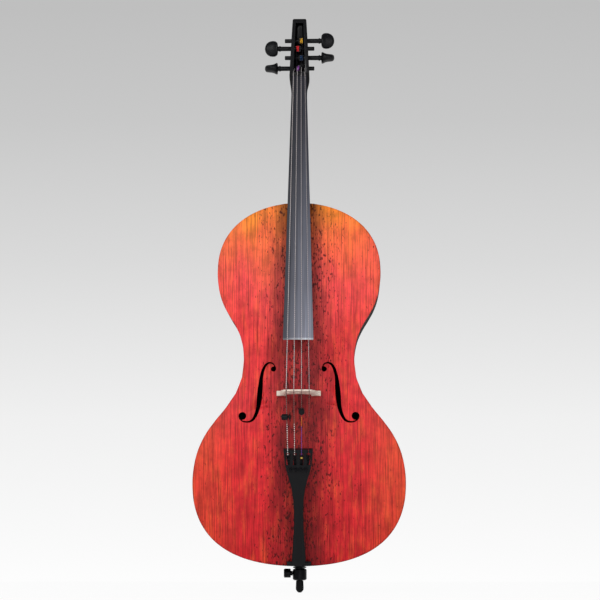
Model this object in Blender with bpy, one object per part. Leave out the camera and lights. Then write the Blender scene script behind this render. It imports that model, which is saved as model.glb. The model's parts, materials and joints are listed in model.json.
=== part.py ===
"""A full-size cornerless cello in carbon fibre, with a finished top plate and a scroll-less head.

Run it with blender --background --python part.py, or from Blender's text editor.
Lengths are millimetres and MM turns them into Blender's metres. +Z runs up the neck, the
strings face -Y, and +X is the right-hand side of someone looking at the strings. The origin
is at the foot of the endpin's rubber tip, on the endpin's axis.
"""

import math

import bmesh
import bpy
from mathutils import Matrix, Vector
from mathutils.bvhtree import BVHTree
from mathutils.geometry import interpolate_bezier

MM = 0.001

# Fits: bonded or seated pieces, pieces that turn, and the way a cord or string lies
SEAT = 0.3
RUN = 0.2
LIE = 0.3

# Body: outline, ribs and plates
BODY_FOOT = 54.6  # the body's lower edge above the endpin's foot
BODY_LENGTH = 756.0
LOWER_BOUT, LOWER_BOUT_AT = 441.0, 167.0
WAIST, WAIST_AT = 229.6, 425.5
UPPER_BOUT, UPPER_BOUT_AT = 340.0, 612.0
# Reach of each curve's handles, as a share of the box between its two ends
FOOT_REACH, LOWER_REACH_DOWN = 0.85, 0.42
LOWER_REACH_UP, WAIST_REACH_DOWN = 0.56, 0.446
WAIST_REACH_UP, UPPER_REACH_DOWN = 0.49, 0.56
UPPER_REACH_UP, TOP_REACH = 0.75, 0.42
OUTLINE_STEPS = 8
BODY_DEPTH = 120.0  # between the two plates' edges
WALL = 2.8
TOP_EDGE, TOP_ROUND = 3.5, 2.5
BACK_ROUND = 6.0
FLANGE = 14.0  # the ribs' inward lip that the top is glued to
TOP_ARCH, BACK_ARCH = 24.0, 23.0
SPINE_SHARE = 0.35  # how much of the length stays at full arch
ARCH_SWELL = 1.35
ARCH_STEPS = (0.88, 0.71, 0.5, 0.25, 0.0)
BLOCK_WIDTH, UPPER_BLOCK_DEPTH, LOWER_BLOCK_DEPTH = 90.0, 38.0, 38.0

# Sound holes: distance from the centre line, height above the body's foot, half width
F_HOLE = (
    (48.4, 407.0, 1.2), (52.6, 415.6, 1.5), (61.7, 418.2, 1.9), (70.6, 411.5, 2.8),
    (77.3, 391.6, 3.6), (80.9, 355.5, 5.6), (83.7, 328.2, 4.5), (88.2, 312.3, 3.5),
    (95.2, 300.2, 2.6), (105.2, 296.0, 1.8), (116.0, 297.6, 1.4), (123.6, 304.2, 1.2),
)
UPPER_EYE, UPPER_EYE_R = (52.3, 405.2), 5.6
LOWER_EYE, LOWER_EYE_R = (117.0, 308.6), 8.2

# Bars and posts inside
BASS_BAR_X, BASS_BAR_THICK, BASS_BAR_DEEP = -27.0, 10.0, 20.0
BASS_BAR_ENDS = (130.0, 640.0)
POST_R, POST_X, POST_BEHIND = 5.5, 31.0, 17.0

# Neck, fingerboard and nut
NUT_AT, BOARD_END_AT = 1031.0, 460.0
BOARD_NUT_WIDTH, BOARD_END_WIDTH = 30.5, 62.6
BOARD_NUT_Y, BOARD_END_Y = -43.0, -146.0
BOARD_RADIUS = 62.0
BOARD_NUT_THICK, BOARD_END_THICK = 8.0, 14.5
BOARD_HOLLOW, BOARD_HOLLOW_FROM = 6.5, 725.0
NUT_LENGTH, NUT_PROUD, NUT_DROP = 7.5, 0.8, 0.6
NECK_THICK_TOP, NECK_THICK_FOOT = 28.5, 32.5
THROAT_AT, NECK_FOOT_AT = 985.0, 822.0
HEEL_BACK = 56.0
TENON_DEPTH, TENON_BACK, TENON_BACK_WIDTH = 17.0, 48.0, 34.0

# Head and pegbox
HEAD_TOP, HEAD_BACK, HEAD_CHAMFER = 1159.0, 12.0, 1.5
HEAD_FRONT_LOW, HEAD_FRONT_TOP = -35.0, -20.0
HEAD_WIDTH_LOW, HEAD_WIDTH_TOP = 42.2, 28.8
BOX_FROM, BOX_TO = 1041.0, 1150.0
BOX_WIDTH_LOW, BOX_WIDTH_TOP = 25.0, 16.5
BOX_FLOOR, BOX_CORNER = 7.0, 4.0

# Pegs, upper to lower: string, height, side of the head, whether its face shows from the front
PEG_Y = -10.0
PEGS = (("d", 1112.8, 1, True), ("g", 1096.0, -1, True), ("a", 1075.9, 1, False), ("c", 1052.9, -1, False))
PEG_R_HEAD, PEG_R_TIP = 5.0, 4.35
PEG_TIP_AT, PEG_SHOULDER_AT, PEG_END_AT = 31.5, 44.0, 74.0
PEG_SIDES, HOLE_SIDES = 12, 16
WINDING_EXIT = 7.5  # where a string leaves its peg, from the centre line

# Strings: string-wise place from the left, diameter, turns on the peg
STRINGS = {"c": (-1.5, 1.7, 4.5), "g": (-0.5, 1.4, 5.0), "d": (0.5, 1.15, 5.5), "a": (1.5, 0.95, 6.0)}
NUT_PITCH, BRIDGE_PITCH, TAIL_PITCH = 8.1, 15.6, 14.0
COIL_POINTS, COIL_GAP = 8, 0.5

# Bridge
BRIDGE_AT, BRIDGE_CROWN_Y, BRIDGE_RADIUS = 354.0, -174.0, 62.0
BRIDGE_FOOT_THICK, BRIDGE_TOP_THICK = 11.0, 3.2
BRIDGE_SPAN, BRIDGE_TOP_WIDTH = 91.0, 58.0

# Tailpiece, in its own frame: along from its lower end, depth behind the strings' line
TAIL_FOOT, TAIL_FOOT_Y = 2.6, -72.5
TAIL_LENGTH = 241.0
TAIL_WIDTHS = ((0.0, 15.0), (2.0, 21.0), (6.0, 26.4), (12.0, 28.3), (40.0, 24.3), (72.0, 20.3), (112.0, 18.9),
               (137.0, 21.6), (160.0, 27.3), (181.0, 38.9), (198.0, 49.3), (210.0, 54.4), (241.0, 60.4))
TAIL_FRONT_FOOT, TAIL_FRONT_TOP = -5.5, 2.5
TAIL_BACK_FOOT, TAIL_BACK_TOP = 3.9, 16.5
TAIL_CROWN = 3.0
TAIL_SKIN, TAIL_SIDE = 3.0, 2.6
HOUSING_FROM = 188.0
SLOT_FROM, SLOT_TO, SLOT_WIDTH = 209.0, 233.0, 6.6

# Fine tuners
PIVOT_ALONG, PIVOT_DEPTH, PIVOT_R = 226.0, 8.2, 1.2
SCREW_ALONG, SCREW_PITCH_X = 200.0, 10.8
SCREW_KNOB_R, SCREW_KNOB_HIGH, SCREW_R = 4.1, 5.6, 1.5
LEVER_WIDTH, FORK_GAP = 5.7, 2.7
ARM_TOP, ARM_BOTTOM = 8.2, 11.2
BALL_ALONG, BALL_R, BALL_LENGTH = 224.8, 2.3, 4.2

# Saddle, tail cord and endpin
SADDLE_WIDTH, SADDLE_HIGH, SADDLE_CREST_Y = 49.4, 9.6, -64.2
CORD_R, CORD_X = 1.5, 7.0
SOCKET_R, SOCKET_END_R, SOCKET_BORE_R = 12.5, 11.5, 5.3
COLLAR_R, COLLAR_TOP, COLLAR_FOOT = 14.5, -5.8, -29.3
GROOVE_R = 10.6
SOCKET_SIDES = 20
ROD_R, ROD_TOP, ROD_FOOT = 5.0, 430.0, -46.0
TIP_R_TOP, TIP_R_LOW = 7.6, 8.2
THUMB_Z, THUMB_R, THUMB_NECK_R, THUMB_SHANK_R = -14.6, 9.35, 4.9, 3.0
THUMB_FROM, THUMB_TO = -18.7, -32.9

# Wolf eliminators: string, height, the turn of its axis about Z (0 lies along X, a quarter faces out)
WOLVES = (("c", 301.0, 0.0), ("d", 312.0, -math.pi / 2))
WOLF_R, WOLF_LENGTH, WOLF_DISC, WOLF_GROOVE = 6.2, 12.8, 3.6, 1.9


def clear_scene():
    for obj in list(bpy.data.objects):
        bpy.data.objects.remove(obj, do_unlink=True)


def material(name, colour, roughness, metallic=0.0):
    made = bpy.data.materials.new(name)
    made.use_nodes = True
    shader = made.node_tree.nodes["Principled BSDF"]
    shader.inputs["Base Color"].default_value = (*colour, 1.0)
    shader.inputs["Roughness"].default_value = roughness
    shader.inputs["Metallic"].default_value = metallic
    return made


def to_object(bm, name, finish, origin=(0, 0, 0), parent=None, smooth=40):
    """Link a bmesh drawn in millimetres as an object in metres, with its origin at a point."""
    bmesh.ops.translate(bm, verts=bm.verts, vec=-Vector(origin))
    bmesh.ops.scale(bm, verts=bm.verts, vec=(MM, MM, MM))
    mesh = bpy.data.meshes.new(name)
    bm.to_mesh(mesh)
    bm.free()
    mesh.shade_smooth()
    mesh.set_sharp_from_angle(angle=math.radians(smooth))
    mesh.materials.append(finish)
    obj = bpy.data.objects.new(name, mesh)
    obj.location = Vector(origin) * MM
    obj.parent = parent
    bpy.context.scene.collection.objects.link(obj)
    return obj


def cut(obj, bm, name, parent=None, operation="DIFFERENCE"):
    """Cut, or join, a bmesh drawn in millimetres into an object."""
    cutter = to_object(bm, f"{obj.name}.{name}", obj.active_material, parent=parent)
    cutter.hide_render = True
    cutter.display_type = "WIRE"
    boolean = obj.modifiers.new(name, "BOOLEAN")
    boolean.operation = operation
    boolean.solver = "EXACT"
    boolean.object = cutter


def rings_to_sheet(rings, flip=False):
    """An open skin over rings of points; a ring that falls onto itself is merged."""
    bm = bmesh.new()
    rows = [[bm.verts.new(point) for point in ring] for ring in rings]
    for one, two in zip(rows, rows[1:]):
        for i in range(len(one)):
            j = (i + 1) % len(one)
            corners = (one[i], one[j], two[j], two[i])
            bm.faces.new(corners[::-1] if flip else corners)
    bmesh.ops.remove_doubles(bm, verts=bm.verts, dist=0.001)
    return bm


def loft(rings):
    """A closed solid through rings of points, with flat ends."""
    bm = bmesh.new()
    rows = [[bm.verts.new(point) for point in ring] for ring in rings]
    for one, two in zip(rows, rows[1:]):
        for i in range(len(one)):
            j = (i + 1) % len(one)
            bm.faces.new((one[i], one[j], two[j], two[i]))
    bm.faces.new(rows[0][::-1])
    bm.faces.new(rows[-1])
    bmesh.ops.remove_doubles(bm, verts=bm.verts, dist=0.001)
    bmesh.ops.recalc_face_normals(bm, faces=bm.faces)
    return bm


def prism(outline, low, high, across=lambda u, v, w: (u, v, w)):
    """A flat outline pulled from low to high; across says how u, v and the pull lie in space."""
    return loft([[across(u, v, w) for u, v in outline] for w in (low, high)])


def turned(profile, sides, place=Matrix()):
    """A solid turned about Z from (radius, height) pairs; place sets it in space.

    A profile that starts and ends on the axis is a full solid, and a closed one is a ring.
    """
    bm = bmesh.new()
    verts = [bm.verts.new((radius, 0, height)) for radius, height in profile]
    edges = [bm.edges.new(pair) for pair in zip(verts, verts[1:])]
    if min(radius for radius, height in profile) > 0:
        edges.append(bm.edges.new((verts[-1], verts[0])))
    bmesh.ops.spin(
        bm, geom=verts + edges, cent=(0, 0, 0), axis=(0, 0, 1), angle=2 * math.pi, steps=sides, use_merge=True
    )
    bmesh.ops.remove_doubles(bm, verts=bm.verts, dist=0.001)
    bmesh.ops.recalc_face_normals(bm, faces=bm.faces)
    bmesh.ops.transform(bm, verts=bm.verts, matrix=place)
    return bm


def cylinder(radius, low, high, sides, place=Matrix()):
    return turned([(0, low), (radius, low), (radius, high), (0, high)], sides, place)


def block(low, high):
    (x0, y0, z0), (x1, y1, z1) = low, high
    return prism([(x0, y0), (x1, y0), (x1, y1), (x0, y1)], z0, z1)


def around(radius, sides):
    """The radius of a faceted hole that a shaft of this radius turns in."""
    return (radius + RUN) / math.cos(math.pi / sides)


def curve_through(points, steps):
    """Points on the smooth curve through the given ones, of any number of numbers each."""
    whole = [points[0], *points, points[-1]]
    found = []
    for before, start, end, after in zip(whole, whole[1:], whole[2:], whole[3:]):
        for step in range(steps):
            t = step / steps
            found.append(tuple(
                0.5 * (2 * b + (c - a) * t + (2 * a - 5 * b + 4 * c - d) * t**2 + (3 * b - a - 3 * c + d) * t**3)
                for a, b, c, d in zip(before, start, end, after)
            ))
    found.append(tuple(points[-1]))
    return found


def between(low, high, share):
    return low + (high - low) * share


def tube(name, points, radius, resolution, finish, origin=(0, 0, 0), parent=None):
    """A cord along points in millimetres, as a curve with a round bevel and filled ends."""
    curve = bpy.data.curves.new(name, "CURVE")
    curve.dimensions = "3D"
    curve.bevel_depth = radius * MM
    curve.bevel_resolution = resolution
    curve.use_fill_caps = True
    spline = curve.splines.new("POLY")
    spline.points.add(len(points) - 1)
    for spot, point in zip(spline.points, points):
        spot.co = (*((Vector(point) - Vector(origin)) * MM), 1)
    curve.materials.append(finish)
    obj = bpy.data.objects.new(name, curve)
    obj.location = Vector(origin) * MM
    obj.parent = parent
    bpy.context.scene.collection.objects.link(obj)
    return obj


# Body outline


def half_outline():
    """The right half from the bottom's centre to the top's, as (x, z) above the body's foot."""
    stations = ((0.0, 0.0), (LOWER_BOUT / 2, LOWER_BOUT_AT), (WAIST / 2, WAIST_AT),
                (UPPER_BOUT / 2, UPPER_BOUT_AT), (0.0, BODY_LENGTH))
    foot, lower, waist, upper, top = (Vector(station) for station in stations)
    curves = (
        (foot, foot + Vector((FOOT_REACH * lower.x, 0)), lower - Vector((0, LOWER_REACH_DOWN * lower.y)), lower),
        (lower, lower + Vector((0, LOWER_REACH_UP * (waist.y - lower.y))),
         waist - Vector((0, WAIST_REACH_DOWN * (waist.y - lower.y))), waist),
        (waist, waist + Vector((0, WAIST_REACH_UP * (upper.y - waist.y))),
         upper - Vector((0, UPPER_REACH_DOWN * (upper.y - waist.y))), upper),
        (upper, upper + Vector((0, UPPER_REACH_UP * (top.y - upper.y))), top + Vector((TOP_REACH * upper.x, 0)), top),
    )
    found = []
    for curve in curves:
        found += even_steps(interpolate_bezier(*curve, 80), OUTLINE_STEPS)[:-1]
    return found + [top]


def even_steps(points, count):
    """Points at equal steps of length along a dense line."""
    reach = [0.0]
    for one, two in zip(points, points[1:]):
        reach.append(reach[-1] + (two - one).length)
    found = []
    for step in range(count + 1):
        at = reach[-1] * step / count
        last = next(i for i in range(1, len(reach)) if reach[i] >= at - 1e-6)
        share = (at - reach[last - 1]) / (reach[last] - reach[last - 1])
        found.append(points[last - 1].lerp(points[last], min(share, 1.0)))
    return found


def outline_at(points, x, up):
    """The height of a closed outline's upper or lower edge at a distance from the centre line."""
    heights = []
    for one, two in zip(points, points[1:] + points[:1]):
        low, high = sorted((one, two), key=lambda point: point.x)
        if low.x <= x < high.x:
            heights.append(between(low.y, high.y, (x - low.x) / (high.x - low.x)))
    return max(heights) if up > 0 else min(heights)


def outline(inset=0.0):
    """The whole outline as (x, z) above the endpin's foot, moved inwards by an even distance."""
    half = half_outline()
    whole = half + [Vector((-point.x, point.y)) for point in reversed(half[1:-1])]
    found = []
    for before, point, after in zip(whole[-1:] + whole[:-1], whole, whole[1:] + whole[:1]):
        along = (after - before).normalized()
        found.append(point + Vector((-along.y, along.x)) * inset + Vector((0, BODY_FOOT)))
    return found


def ring(inset, y):
    return [(point.x, y, point.y) for point in outline(inset)]


def arch_rings(inset, edge_y, rise):
    """Rings from the plate's edge up to its crest line, which lies on the centre line."""
    edge = outline(inset)
    middle = BODY_FOOT + BODY_LENGTH / 2
    found = []
    for share in ARCH_STEPS:
        height = (1 + math.cos(math.pi * share**ARCH_SWELL)) / 2
        found.append([
            (point.x * share, edge_y + rise * height,
             point.y * share + (middle + SPINE_SHARE * (point.y - middle)) * (1 - share))
            for point in edge
        ])
    return found


def edge_round(radius, edge_y, inwards):
    """Rings that turn a plate's edge over; inwards is the way along Y from the edge to the ribs."""
    found = []
    for turn in (0, math.pi / 4, math.pi / 2):
        found.append(ring(radius * (1 - math.cos(turn)), edge_y + inwards * radius * (1 - math.sin(turn))))
    return found


TOP_Y = -BODY_DEPTH / 2
BACK_Y = BODY_DEPTH / 2
RIB_Y = TOP_Y + TOP_EDGE + SEAT
TENON_FOOT = BODY_FOOT + BODY_LENGTH - TENON_DEPTH


def top_rings(lift=0.0):
    edge = TOP_Y - lift
    return [ring(0, TOP_Y + TOP_EDGE), *edge_round(TOP_ROUND, edge, 1), *arch_rings(TOP_ROUND, edge, -TOP_ARCH)]


def shell_of(obj):
    solid = obj.modifiers.new("wall", "SOLIDIFY")
    solid.thickness = WALL * MM
    solid.offset = -1
    solid.use_even_offset = True


def surface(obj):
    """A finder of the solid's first face from the middle of the body, front or back, at (x, z)."""
    bpy.context.view_layer.update()
    tree = BVHTree.FromObject(obj, bpy.context.evaluated_depsgraph_get())

    def find(x, z, way):
        start = Vector((x * MM, -way * 0.001, z * MM))
        hit = tree.ray_cast(start, Vector((0, way, 0)))[0]
        return hit.y / MM

    return find


def tenon(low, high, grow=0.0):
    """The neck's foot, from the fingerboard's seat to its narrower back, or the space it needs."""
    rings = []
    for z in (low - grow, high):
        wide, narrow = board_half(z) - 1.0 + grow, TENON_BACK_WIDTH / 2 + grow
        front, back = glue_y(z) - grow, TENON_BACK + grow
        rings.append([(-wide, front, z), (wide, front, z), (narrow, back, z), (-narrow, back, z)])
    return loft(rings)


# Lines that the neck, the fingerboard and the strings share


def board_share(z):
    """0 at the nut and 1 at the fingerboard's lower end."""
    return (BODY_FOOT + NUT_AT - z) / (NUT_AT - BOARD_END_AT)


def board_y(z):
    return between(BOARD_NUT_Y, BOARD_END_Y, board_share(z))


def board_half(z):
    return between(BOARD_NUT_WIDTH, BOARD_END_WIDTH, board_share(z)) / 2


def glue_y(z):
    """The neck's front face, which the fingerboard is glued to."""
    return board_y(z) + between(BOARD_NUT_THICK, BOARD_END_THICK, board_share(z))


def sag(x, radius):
    return radius - math.sqrt(radius**2 - x**2)


BRIDGE_Z = BODY_FOOT + BRIDGE_AT
TAIL_TILT = math.atan2(TAIL_FOOT_Y - (BRIDGE_CROWN_Y + sag(1.5 * BRIDGE_PITCH, BRIDGE_RADIUS)), BRIDGE_AT - TAIL_FOOT)
TAIL_FRAME = Matrix.Translation((0, TAIL_FOOT_Y, BODY_FOOT + TAIL_FOOT)) @ Matrix.Rotation(TAIL_TILT, 4, "X")


def string_over_nut(string):
    """Where a string breaks over the nut's back edge and over its front."""
    place, size, _ = STRINGS[string]
    x = place * NUT_PITCH
    y = BOARD_NUT_Y - NUT_PROUD + sag(x, BOARD_RADIUS)
    foot = BODY_FOOT + NUT_AT
    return Vector((x, y + NUT_DROP, foot + NUT_LENGTH + size / 2 + LIE)), Vector((x, y, foot + 1))


def string_at_bridge(place):
    x = place * BRIDGE_PITCH
    return Vector((x, BRIDGE_CROWN_Y + sag(x, BRIDGE_RADIUS), BRIDGE_Z))


def string_at_tail(place):
    return TAIL_FRAME @ Vector((place * TAIL_PITCH, 0, SLOT_TO - 3.0))


# Body


def make_body(carbon, varnish):
    rings = [ring(FLANGE, RIB_Y), ring(0, RIB_Y), *edge_round(BACK_ROUND, BACK_Y, -1),
             *arch_rings(BACK_ROUND, BACK_Y, BACK_ARCH)]
    back = to_object(rings_to_sheet(rings, flip=True), "back_shell", carbon)
    shell_of(back)
    top = to_object(rings_to_sheet(top_rings()), "top_plate", varnish)
    shell_of(top)
    find_top, find_back = surface(top), surface(back)

    for side, name in ((-1, "bass"), (1, "treble")):
        cut_sound_hole(top, side, name)
    notch_top = BODY_FOOT + SADDLE_HIGH + SEAT
    half = SADDLE_WIDTH / 2 + SEAT
    notch = block((-half, TOP_Y - 10, BODY_FOOT - 5), (half, RIB_Y - SEAT / 2, notch_top))
    cut(top, notch, "saddle_notch")
    for obj in (top, back):
        cut(obj, tenon(TENON_FOOT, TENON_FOOT + 60, SEAT), "neck_notch")
    hole = cylinder(around(SOCKET_R, SOCKET_SIDES), BODY_FOOT - 5, BODY_FOOT + 9, SOCKET_SIDES)
    cut(back, hole, "endpin_hole")

    make_blocks(carbon)
    make_bass_bar(carbon, find_top)
    make_sound_post(find_top, find_back)


def cut_sound_hole(top, side, name):
    """An f-hole: a stem that swells in the middle and an eye at each end."""
    stem = curve_through(F_HOLE, 3)
    left, right = [], []
    for before, spot, after in zip(stem[:1] + stem[:-1], stem, stem[1:] + stem[-1:]):
        along = Vector((after[0] - before[0], after[1] - before[1])).normalized() * spot[2]
        left.append((spot[0] - along.y, spot[1] + along.x))
        right.append((spot[0] + along.y, spot[1] - along.x))
    shapes = {"stem": left + right[::-1]}
    for eye, (middle, radius, sides) in {
        "upper_eye": (UPPER_EYE, UPPER_EYE_R, 14), "lower_eye": (LOWER_EYE, LOWER_EYE_R, 18)
    }.items():
        shapes[eye] = [
            (middle[0] + radius * math.cos(2 * math.pi * i / sides), middle[1] + radius * math.sin(2 * math.pi * i / sides))
            for i in range(sides)
        ]
    for part, shape in shapes.items():
        low, high = TOP_Y - TOP_ARCH - 8, TOP_Y + 12
        bm = prism(shape, low, high, lambda u, v, w: (side * u, w, v + BODY_FOOT))
        cut(top, bm, f"f_{name}_{part}")


def make_blocks(carbon):
    """The upper block holds the neck's foot and the lower one the endpin's socket."""
    inner = outline(WALL + SEAT)
    half = BLOCK_WIDTH / 2
    middle = BODY_FOOT + BODY_LENGTH / 2
    front, back = RIB_Y + WALL + SEAT, BACK_Y - BACK_ROUND - SEAT
    for name, up, depth in (("upper_block", 1, UPPER_BLOCK_DEPTH), ("lower_block", -1, LOWER_BLOCK_DEPTH)):
        edge = sorted((p.x, p.y) for p in inner if abs(p.x) < half - 2 and (p.y - middle) * up > 0)
        edge = [(-half, outline_at(inner, -half, up)), *edge, (half, outline_at(inner, half, up))]
        extreme = max(up * z for x, z in edge)
        end = up * (extreme - depth)
        shape = edge + [(edge[-1][0], end), (edge[0][0], end)]
        obj = to_object(prism(shape, front, back, lambda u, v, w: (u, w, v)), name, carbon)
        if up > 0:
            cut(obj, tenon(TENON_FOOT, TENON_FOOT + 60, SEAT), "mortise")
        else:
            low, high = BODY_FOOT - 5, BODY_FOOT + LOWER_BLOCK_DEPTH + 15
            cut(obj, cylinder(around(SOCKET_R, SOCKET_SIDES), low, high, SOCKET_SIDES), "socket_hole")


def make_bass_bar(carbon, find_top):
    """A bar bonded under the bass side of the top, deepest below the bridge."""
    low, high = (BODY_FOOT + z for z in BASS_BAR_ENDS)
    rings, steps = [], 14
    for i in range(steps + 1):
        z = between(low, high, i / steps)
        deep = 4 + (BASS_BAR_DEEP - 4) * math.sin(math.pi * i / steps)
        edges = [BASS_BAR_X - BASS_BAR_THICK / 2, BASS_BAR_X + BASS_BAR_THICK / 2]
        near = [find_top(x, z, -1) + SEAT for x in edges]
        foot = max(near) + deep
        rings.append([(edges[0], near[0], z), (edges[1], near[1], z), (edges[1], foot, z), (edges[0], foot, z)])
    to_object(loft(rings), "bass_bar", carbon)


def make_sound_post(find_top, find_back):
    """A post between the plates just behind the bridge's treble foot, its ends cut to both arches."""
    z = BRIDGE_Z - POST_BEHIND
    spots = [(POST_X + POST_R * math.cos(2 * math.pi * i / 16), z + POST_R * math.sin(2 * math.pi * i / 16))
             for i in range(16)]
    rings = [[(x, find_top(x, at, -1) + SEAT, at) for x, at in spots],
             [(x, find_back(x, at, 1) - SEAT, at) for x, at in spots]]
    to_object(loft(rings), "sound_post", material("spruce", (0.72, 0.55, 0.33), 0.6))


# Neck, head and fingerboard


def neck_section(z, half, front, back, square):
    """A flat-fronted section; square 0 gives a round back and 1 a nearly square one."""
    power = between(1.0, 0.28, square)
    straight = between(0.12, 0.5, square) * (back - front)
    points = [(-half, front, z), (half, front, z)]
    for i in range(13):
        turn = math.pi * i / 12
        x = half * math.copysign(abs(math.cos(turn)) ** power, math.cos(turn))
        depth = (back - front - straight) * math.sin(turn) ** power
        points.append((x, front + straight + depth, z))
    return points


def head_half(z):
    share = (z - BODY_FOOT - NUT_AT) / (HEAD_TOP - NUT_AT)
    return between(HEAD_WIDTH_LOW, HEAD_WIDTH_TOP, max(share, 0) ** 1.15) / 2


def head_front(z):
    return between(HEAD_FRONT_LOW, HEAD_FRONT_TOP, (z - BODY_FOOT - NUT_AT) / (HEAD_TOP - NUT_AT))


def neck_back(z):
    share = (BODY_FOOT + THROAT_AT - z) / (THROAT_AT - NECK_FOOT_AT)
    return board_y(z) + between(NECK_THICK_TOP, NECK_THICK_FOOT, share)


def neck_rings():
    rings = []
    throat = NUT_AT + 2
    shoulder = HEAD_TOP - 2 * HEAD_CHAMFER
    for z in (HEAD_TOP, *(between(shoulder, throat, step / 4) for step in range(5))):
        at = BODY_FOOT + z
        tuck = HEAD_CHAMFER if z == HEAD_TOP else 0.0
        rings.append(neck_section(at, head_half(at) - tuck, head_front(at) + tuck, HEAD_BACK - tuck, 1.0))
    steps = 6
    for i in range(1, steps + 1):
        z = BODY_FOOT + between(throat, THROAT_AT, i / steps)
        ease = (1 - math.cos(math.pi * i / steps)) / 2
        half = between(HEAD_WIDTH_LOW / 2, board_half(z), ease)
        back = between(HEAD_BACK, neck_back(z), ease)
        rings.append(neck_section(z, half, glue_y(z), back, 1 - ease))
    for step in (1, 2, 3):
        at = BODY_FOOT + between(THROAT_AT, NECK_FOOT_AT, step / 3)
        rings.append(neck_section(at, board_half(at), glue_y(at), neck_back(at), 0.0))
    foot = BODY_LENGTH + SEAT
    steps = 6
    for i in range(1, steps + 1):
        turn = math.pi / 2 * i / steps
        z = BODY_FOOT + NECK_FOOT_AT - (NECK_FOOT_AT - foot) * math.sin(turn)
        back = neck_back(z) + (HEEL_BACK - neck_back(z)) * (1 - math.cos(turn))
        rings.append(neck_section(z, board_half(z), glue_y(z), back, 0.0))
    return rings


def make_neck(carbon):
    obj = to_object(loft(neck_rings()), "neck", carbon, smooth=50)
    cut(obj, tenon(TENON_FOOT, TENON_FOOT + TENON_DEPTH + 4), "tenon", operation="UNION")
    box, floor = [], HEAD_BACK - BOX_FLOOR
    for z, width in ((BOX_FROM, BOX_WIDTH_LOW), (BOX_TO, BOX_WIDTH_TOP)):
        half, flat = width / 2, width / 2 - BOX_CORNER
        side = [(half, HEAD_FRONT_LOW * 2), (half, floor - BOX_CORNER), (flat, floor)]
        box.append([(x, y, BODY_FOOT + z) for x, y in side + [(-x, y) for x, y in reversed(side)]])
    cut(obj, loft(box), "pegbox")
    for string, z, side, _ in PEGS:
        hole = [(around(peg_radius(side * x), HOLE_SIDES), x) for x in (-40, 40)]
        bm = turned([(0, -40), *hole, (0, 40)], HOLE_SIDES, peg_place(z))
        cut(obj, bm, f"peg_hole_{string}")


def make_fingerboard(ebony):
    """Arched above, flat where it is glued, and hollow under its free end."""
    rings = []
    stations = ((BODY_FOOT + NUT_AT - SEAT, 0.0), (TENON_FOOT, 0.0), (BODY_FOOT + BOARD_HOLLOW_FROM, 0.5),
                (BODY_FOOT + 690.0, 1.0), (BODY_FOOT + BOARD_END_AT + 2.0, 1.0), (BODY_FOOT + BOARD_END_AT, 1.0))
    last = len(stations) - 1
    for number, (z, hollow) in enumerate(stations):
        chamfer = 1.2 if number == last else 0.0
        half, crown, under = board_half(z) - chamfer, board_y(z) + chamfer, glue_y(z) - SEAT
        points, steps = [], 12
        for i in range(steps + 1):
            x = between(-half, half, i / steps)
            points.append((x, crown + sag(x, BOARD_RADIUS), z))
        for i in range(steps + 1):
            x = between(half, -half, i / steps)
            rim = max(0.0, 1 - (x / (half - 3.0)) ** 2) if abs(x) < half - 3.0 else 0.0
            points.append((x, under - hollow * BOARD_HOLLOW * rim**0.5, z))
        rings.append(points)
    to_object(loft(rings), "fingerboard", ebony)


def make_nut(ebony):
    z0 = BODY_FOOT + NUT_AT
    half = BOARD_NUT_WIDTH / 2
    crown = BOARD_NUT_Y - NUT_PROUD - 0.4
    rings = []
    for z, drop in ((z0, 0.0), (z0 + NUT_LENGTH - 2, 0.0), (z0 + NUT_LENGTH, 1.6)):
        arc = [between(-half, half, i / 10) for i in range(11)]
        under = min(glue_y(z), head_front(z)) - SEAT
        rings.append([(x, crown + drop + sag(x, BOARD_RADIUS), z) for x in arc] + [(half, under, z), (-half, under, z)])
    obj = to_object(loft(rings), "nut", ebony)
    for string, (place, size, _) in STRINGS.items():
        spot = string_over_nut(string)[0]
        reach = size / 2 + LIE
        floor = spot.y + reach
        cut(obj, block((spot.x - reach, crown - 9, z0 - 1), (spot.x + reach, floor, z0 + NUT_LENGTH + 1)), f"slot_{string}")


# Pegs and strings


def peg_place(z):
    """Turn Z onto X and set it on the peg's axis."""
    return Matrix.Translation((0, PEG_Y, BODY_FOOT + z)) @ Matrix.Rotation(math.pi / 2, 4, "Y")


def peg_radius(reach):
    """The tapered shaft's radius at a distance from the centre line, positive on the head's side."""
    return between(PEG_R_TIP, PEG_R_HEAD, (reach + PEG_TIP_AT) / (PEG_TIP_AT + PEG_SHOULDER_AT))


# Peg head: distance from the centre line, half width of the face, half thickness
PEG_HEAD = ((46.4, 7.0, 7.0), (46.8, 11.5, 11.8), (49.4, 15.0, 12.4), (53.5, 16.9, 9.8), (59.5, 17.0, 7.9),
            (65.5, 15.2, 7.4), (70.0, 11.8, 7.2), (72.8, 7.4, 5.6), (PEG_END_AT, 2.4, 2.4))


def make_pegs(ebony, silks):
    for string, z, side, face_on in PEGS:
        shaft = [(-PEG_TIP_AT, 0.86), (-PEG_TIP_AT + 0.8, 1.0), (PEG_SHOULDER_AT - 3.4, 1.0),
                 (PEG_SHOULDER_AT - 3.0, 1.22), (PEG_SHOULDER_AT - 0.6, 1.22), (PEG_SHOULDER_AT - 0.2, 1.0)]
        sizes = [(reach, peg_radius(reach) * share, peg_radius(reach) * share) for reach, share in shaft]
        rings = []
        for reach, wide, thick in [*sizes, *PEG_HEAD]:
            if not face_on:
                wide, thick = thick, wide
            turns = [2 * math.pi * i / PEG_SIDES for i in range(PEG_SIDES)]
            rings.append([(side * reach, PEG_Y + thick * math.cos(t), BODY_FOOT + z + wide * math.sin(t)) for t in turns])
        axis = (0, PEG_Y, BODY_FOOT + z)
        to_object(loft(rings), f"peg_{string}", ebony, origin=axis)
        make_winding(string, z, side, silks[string])


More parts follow.
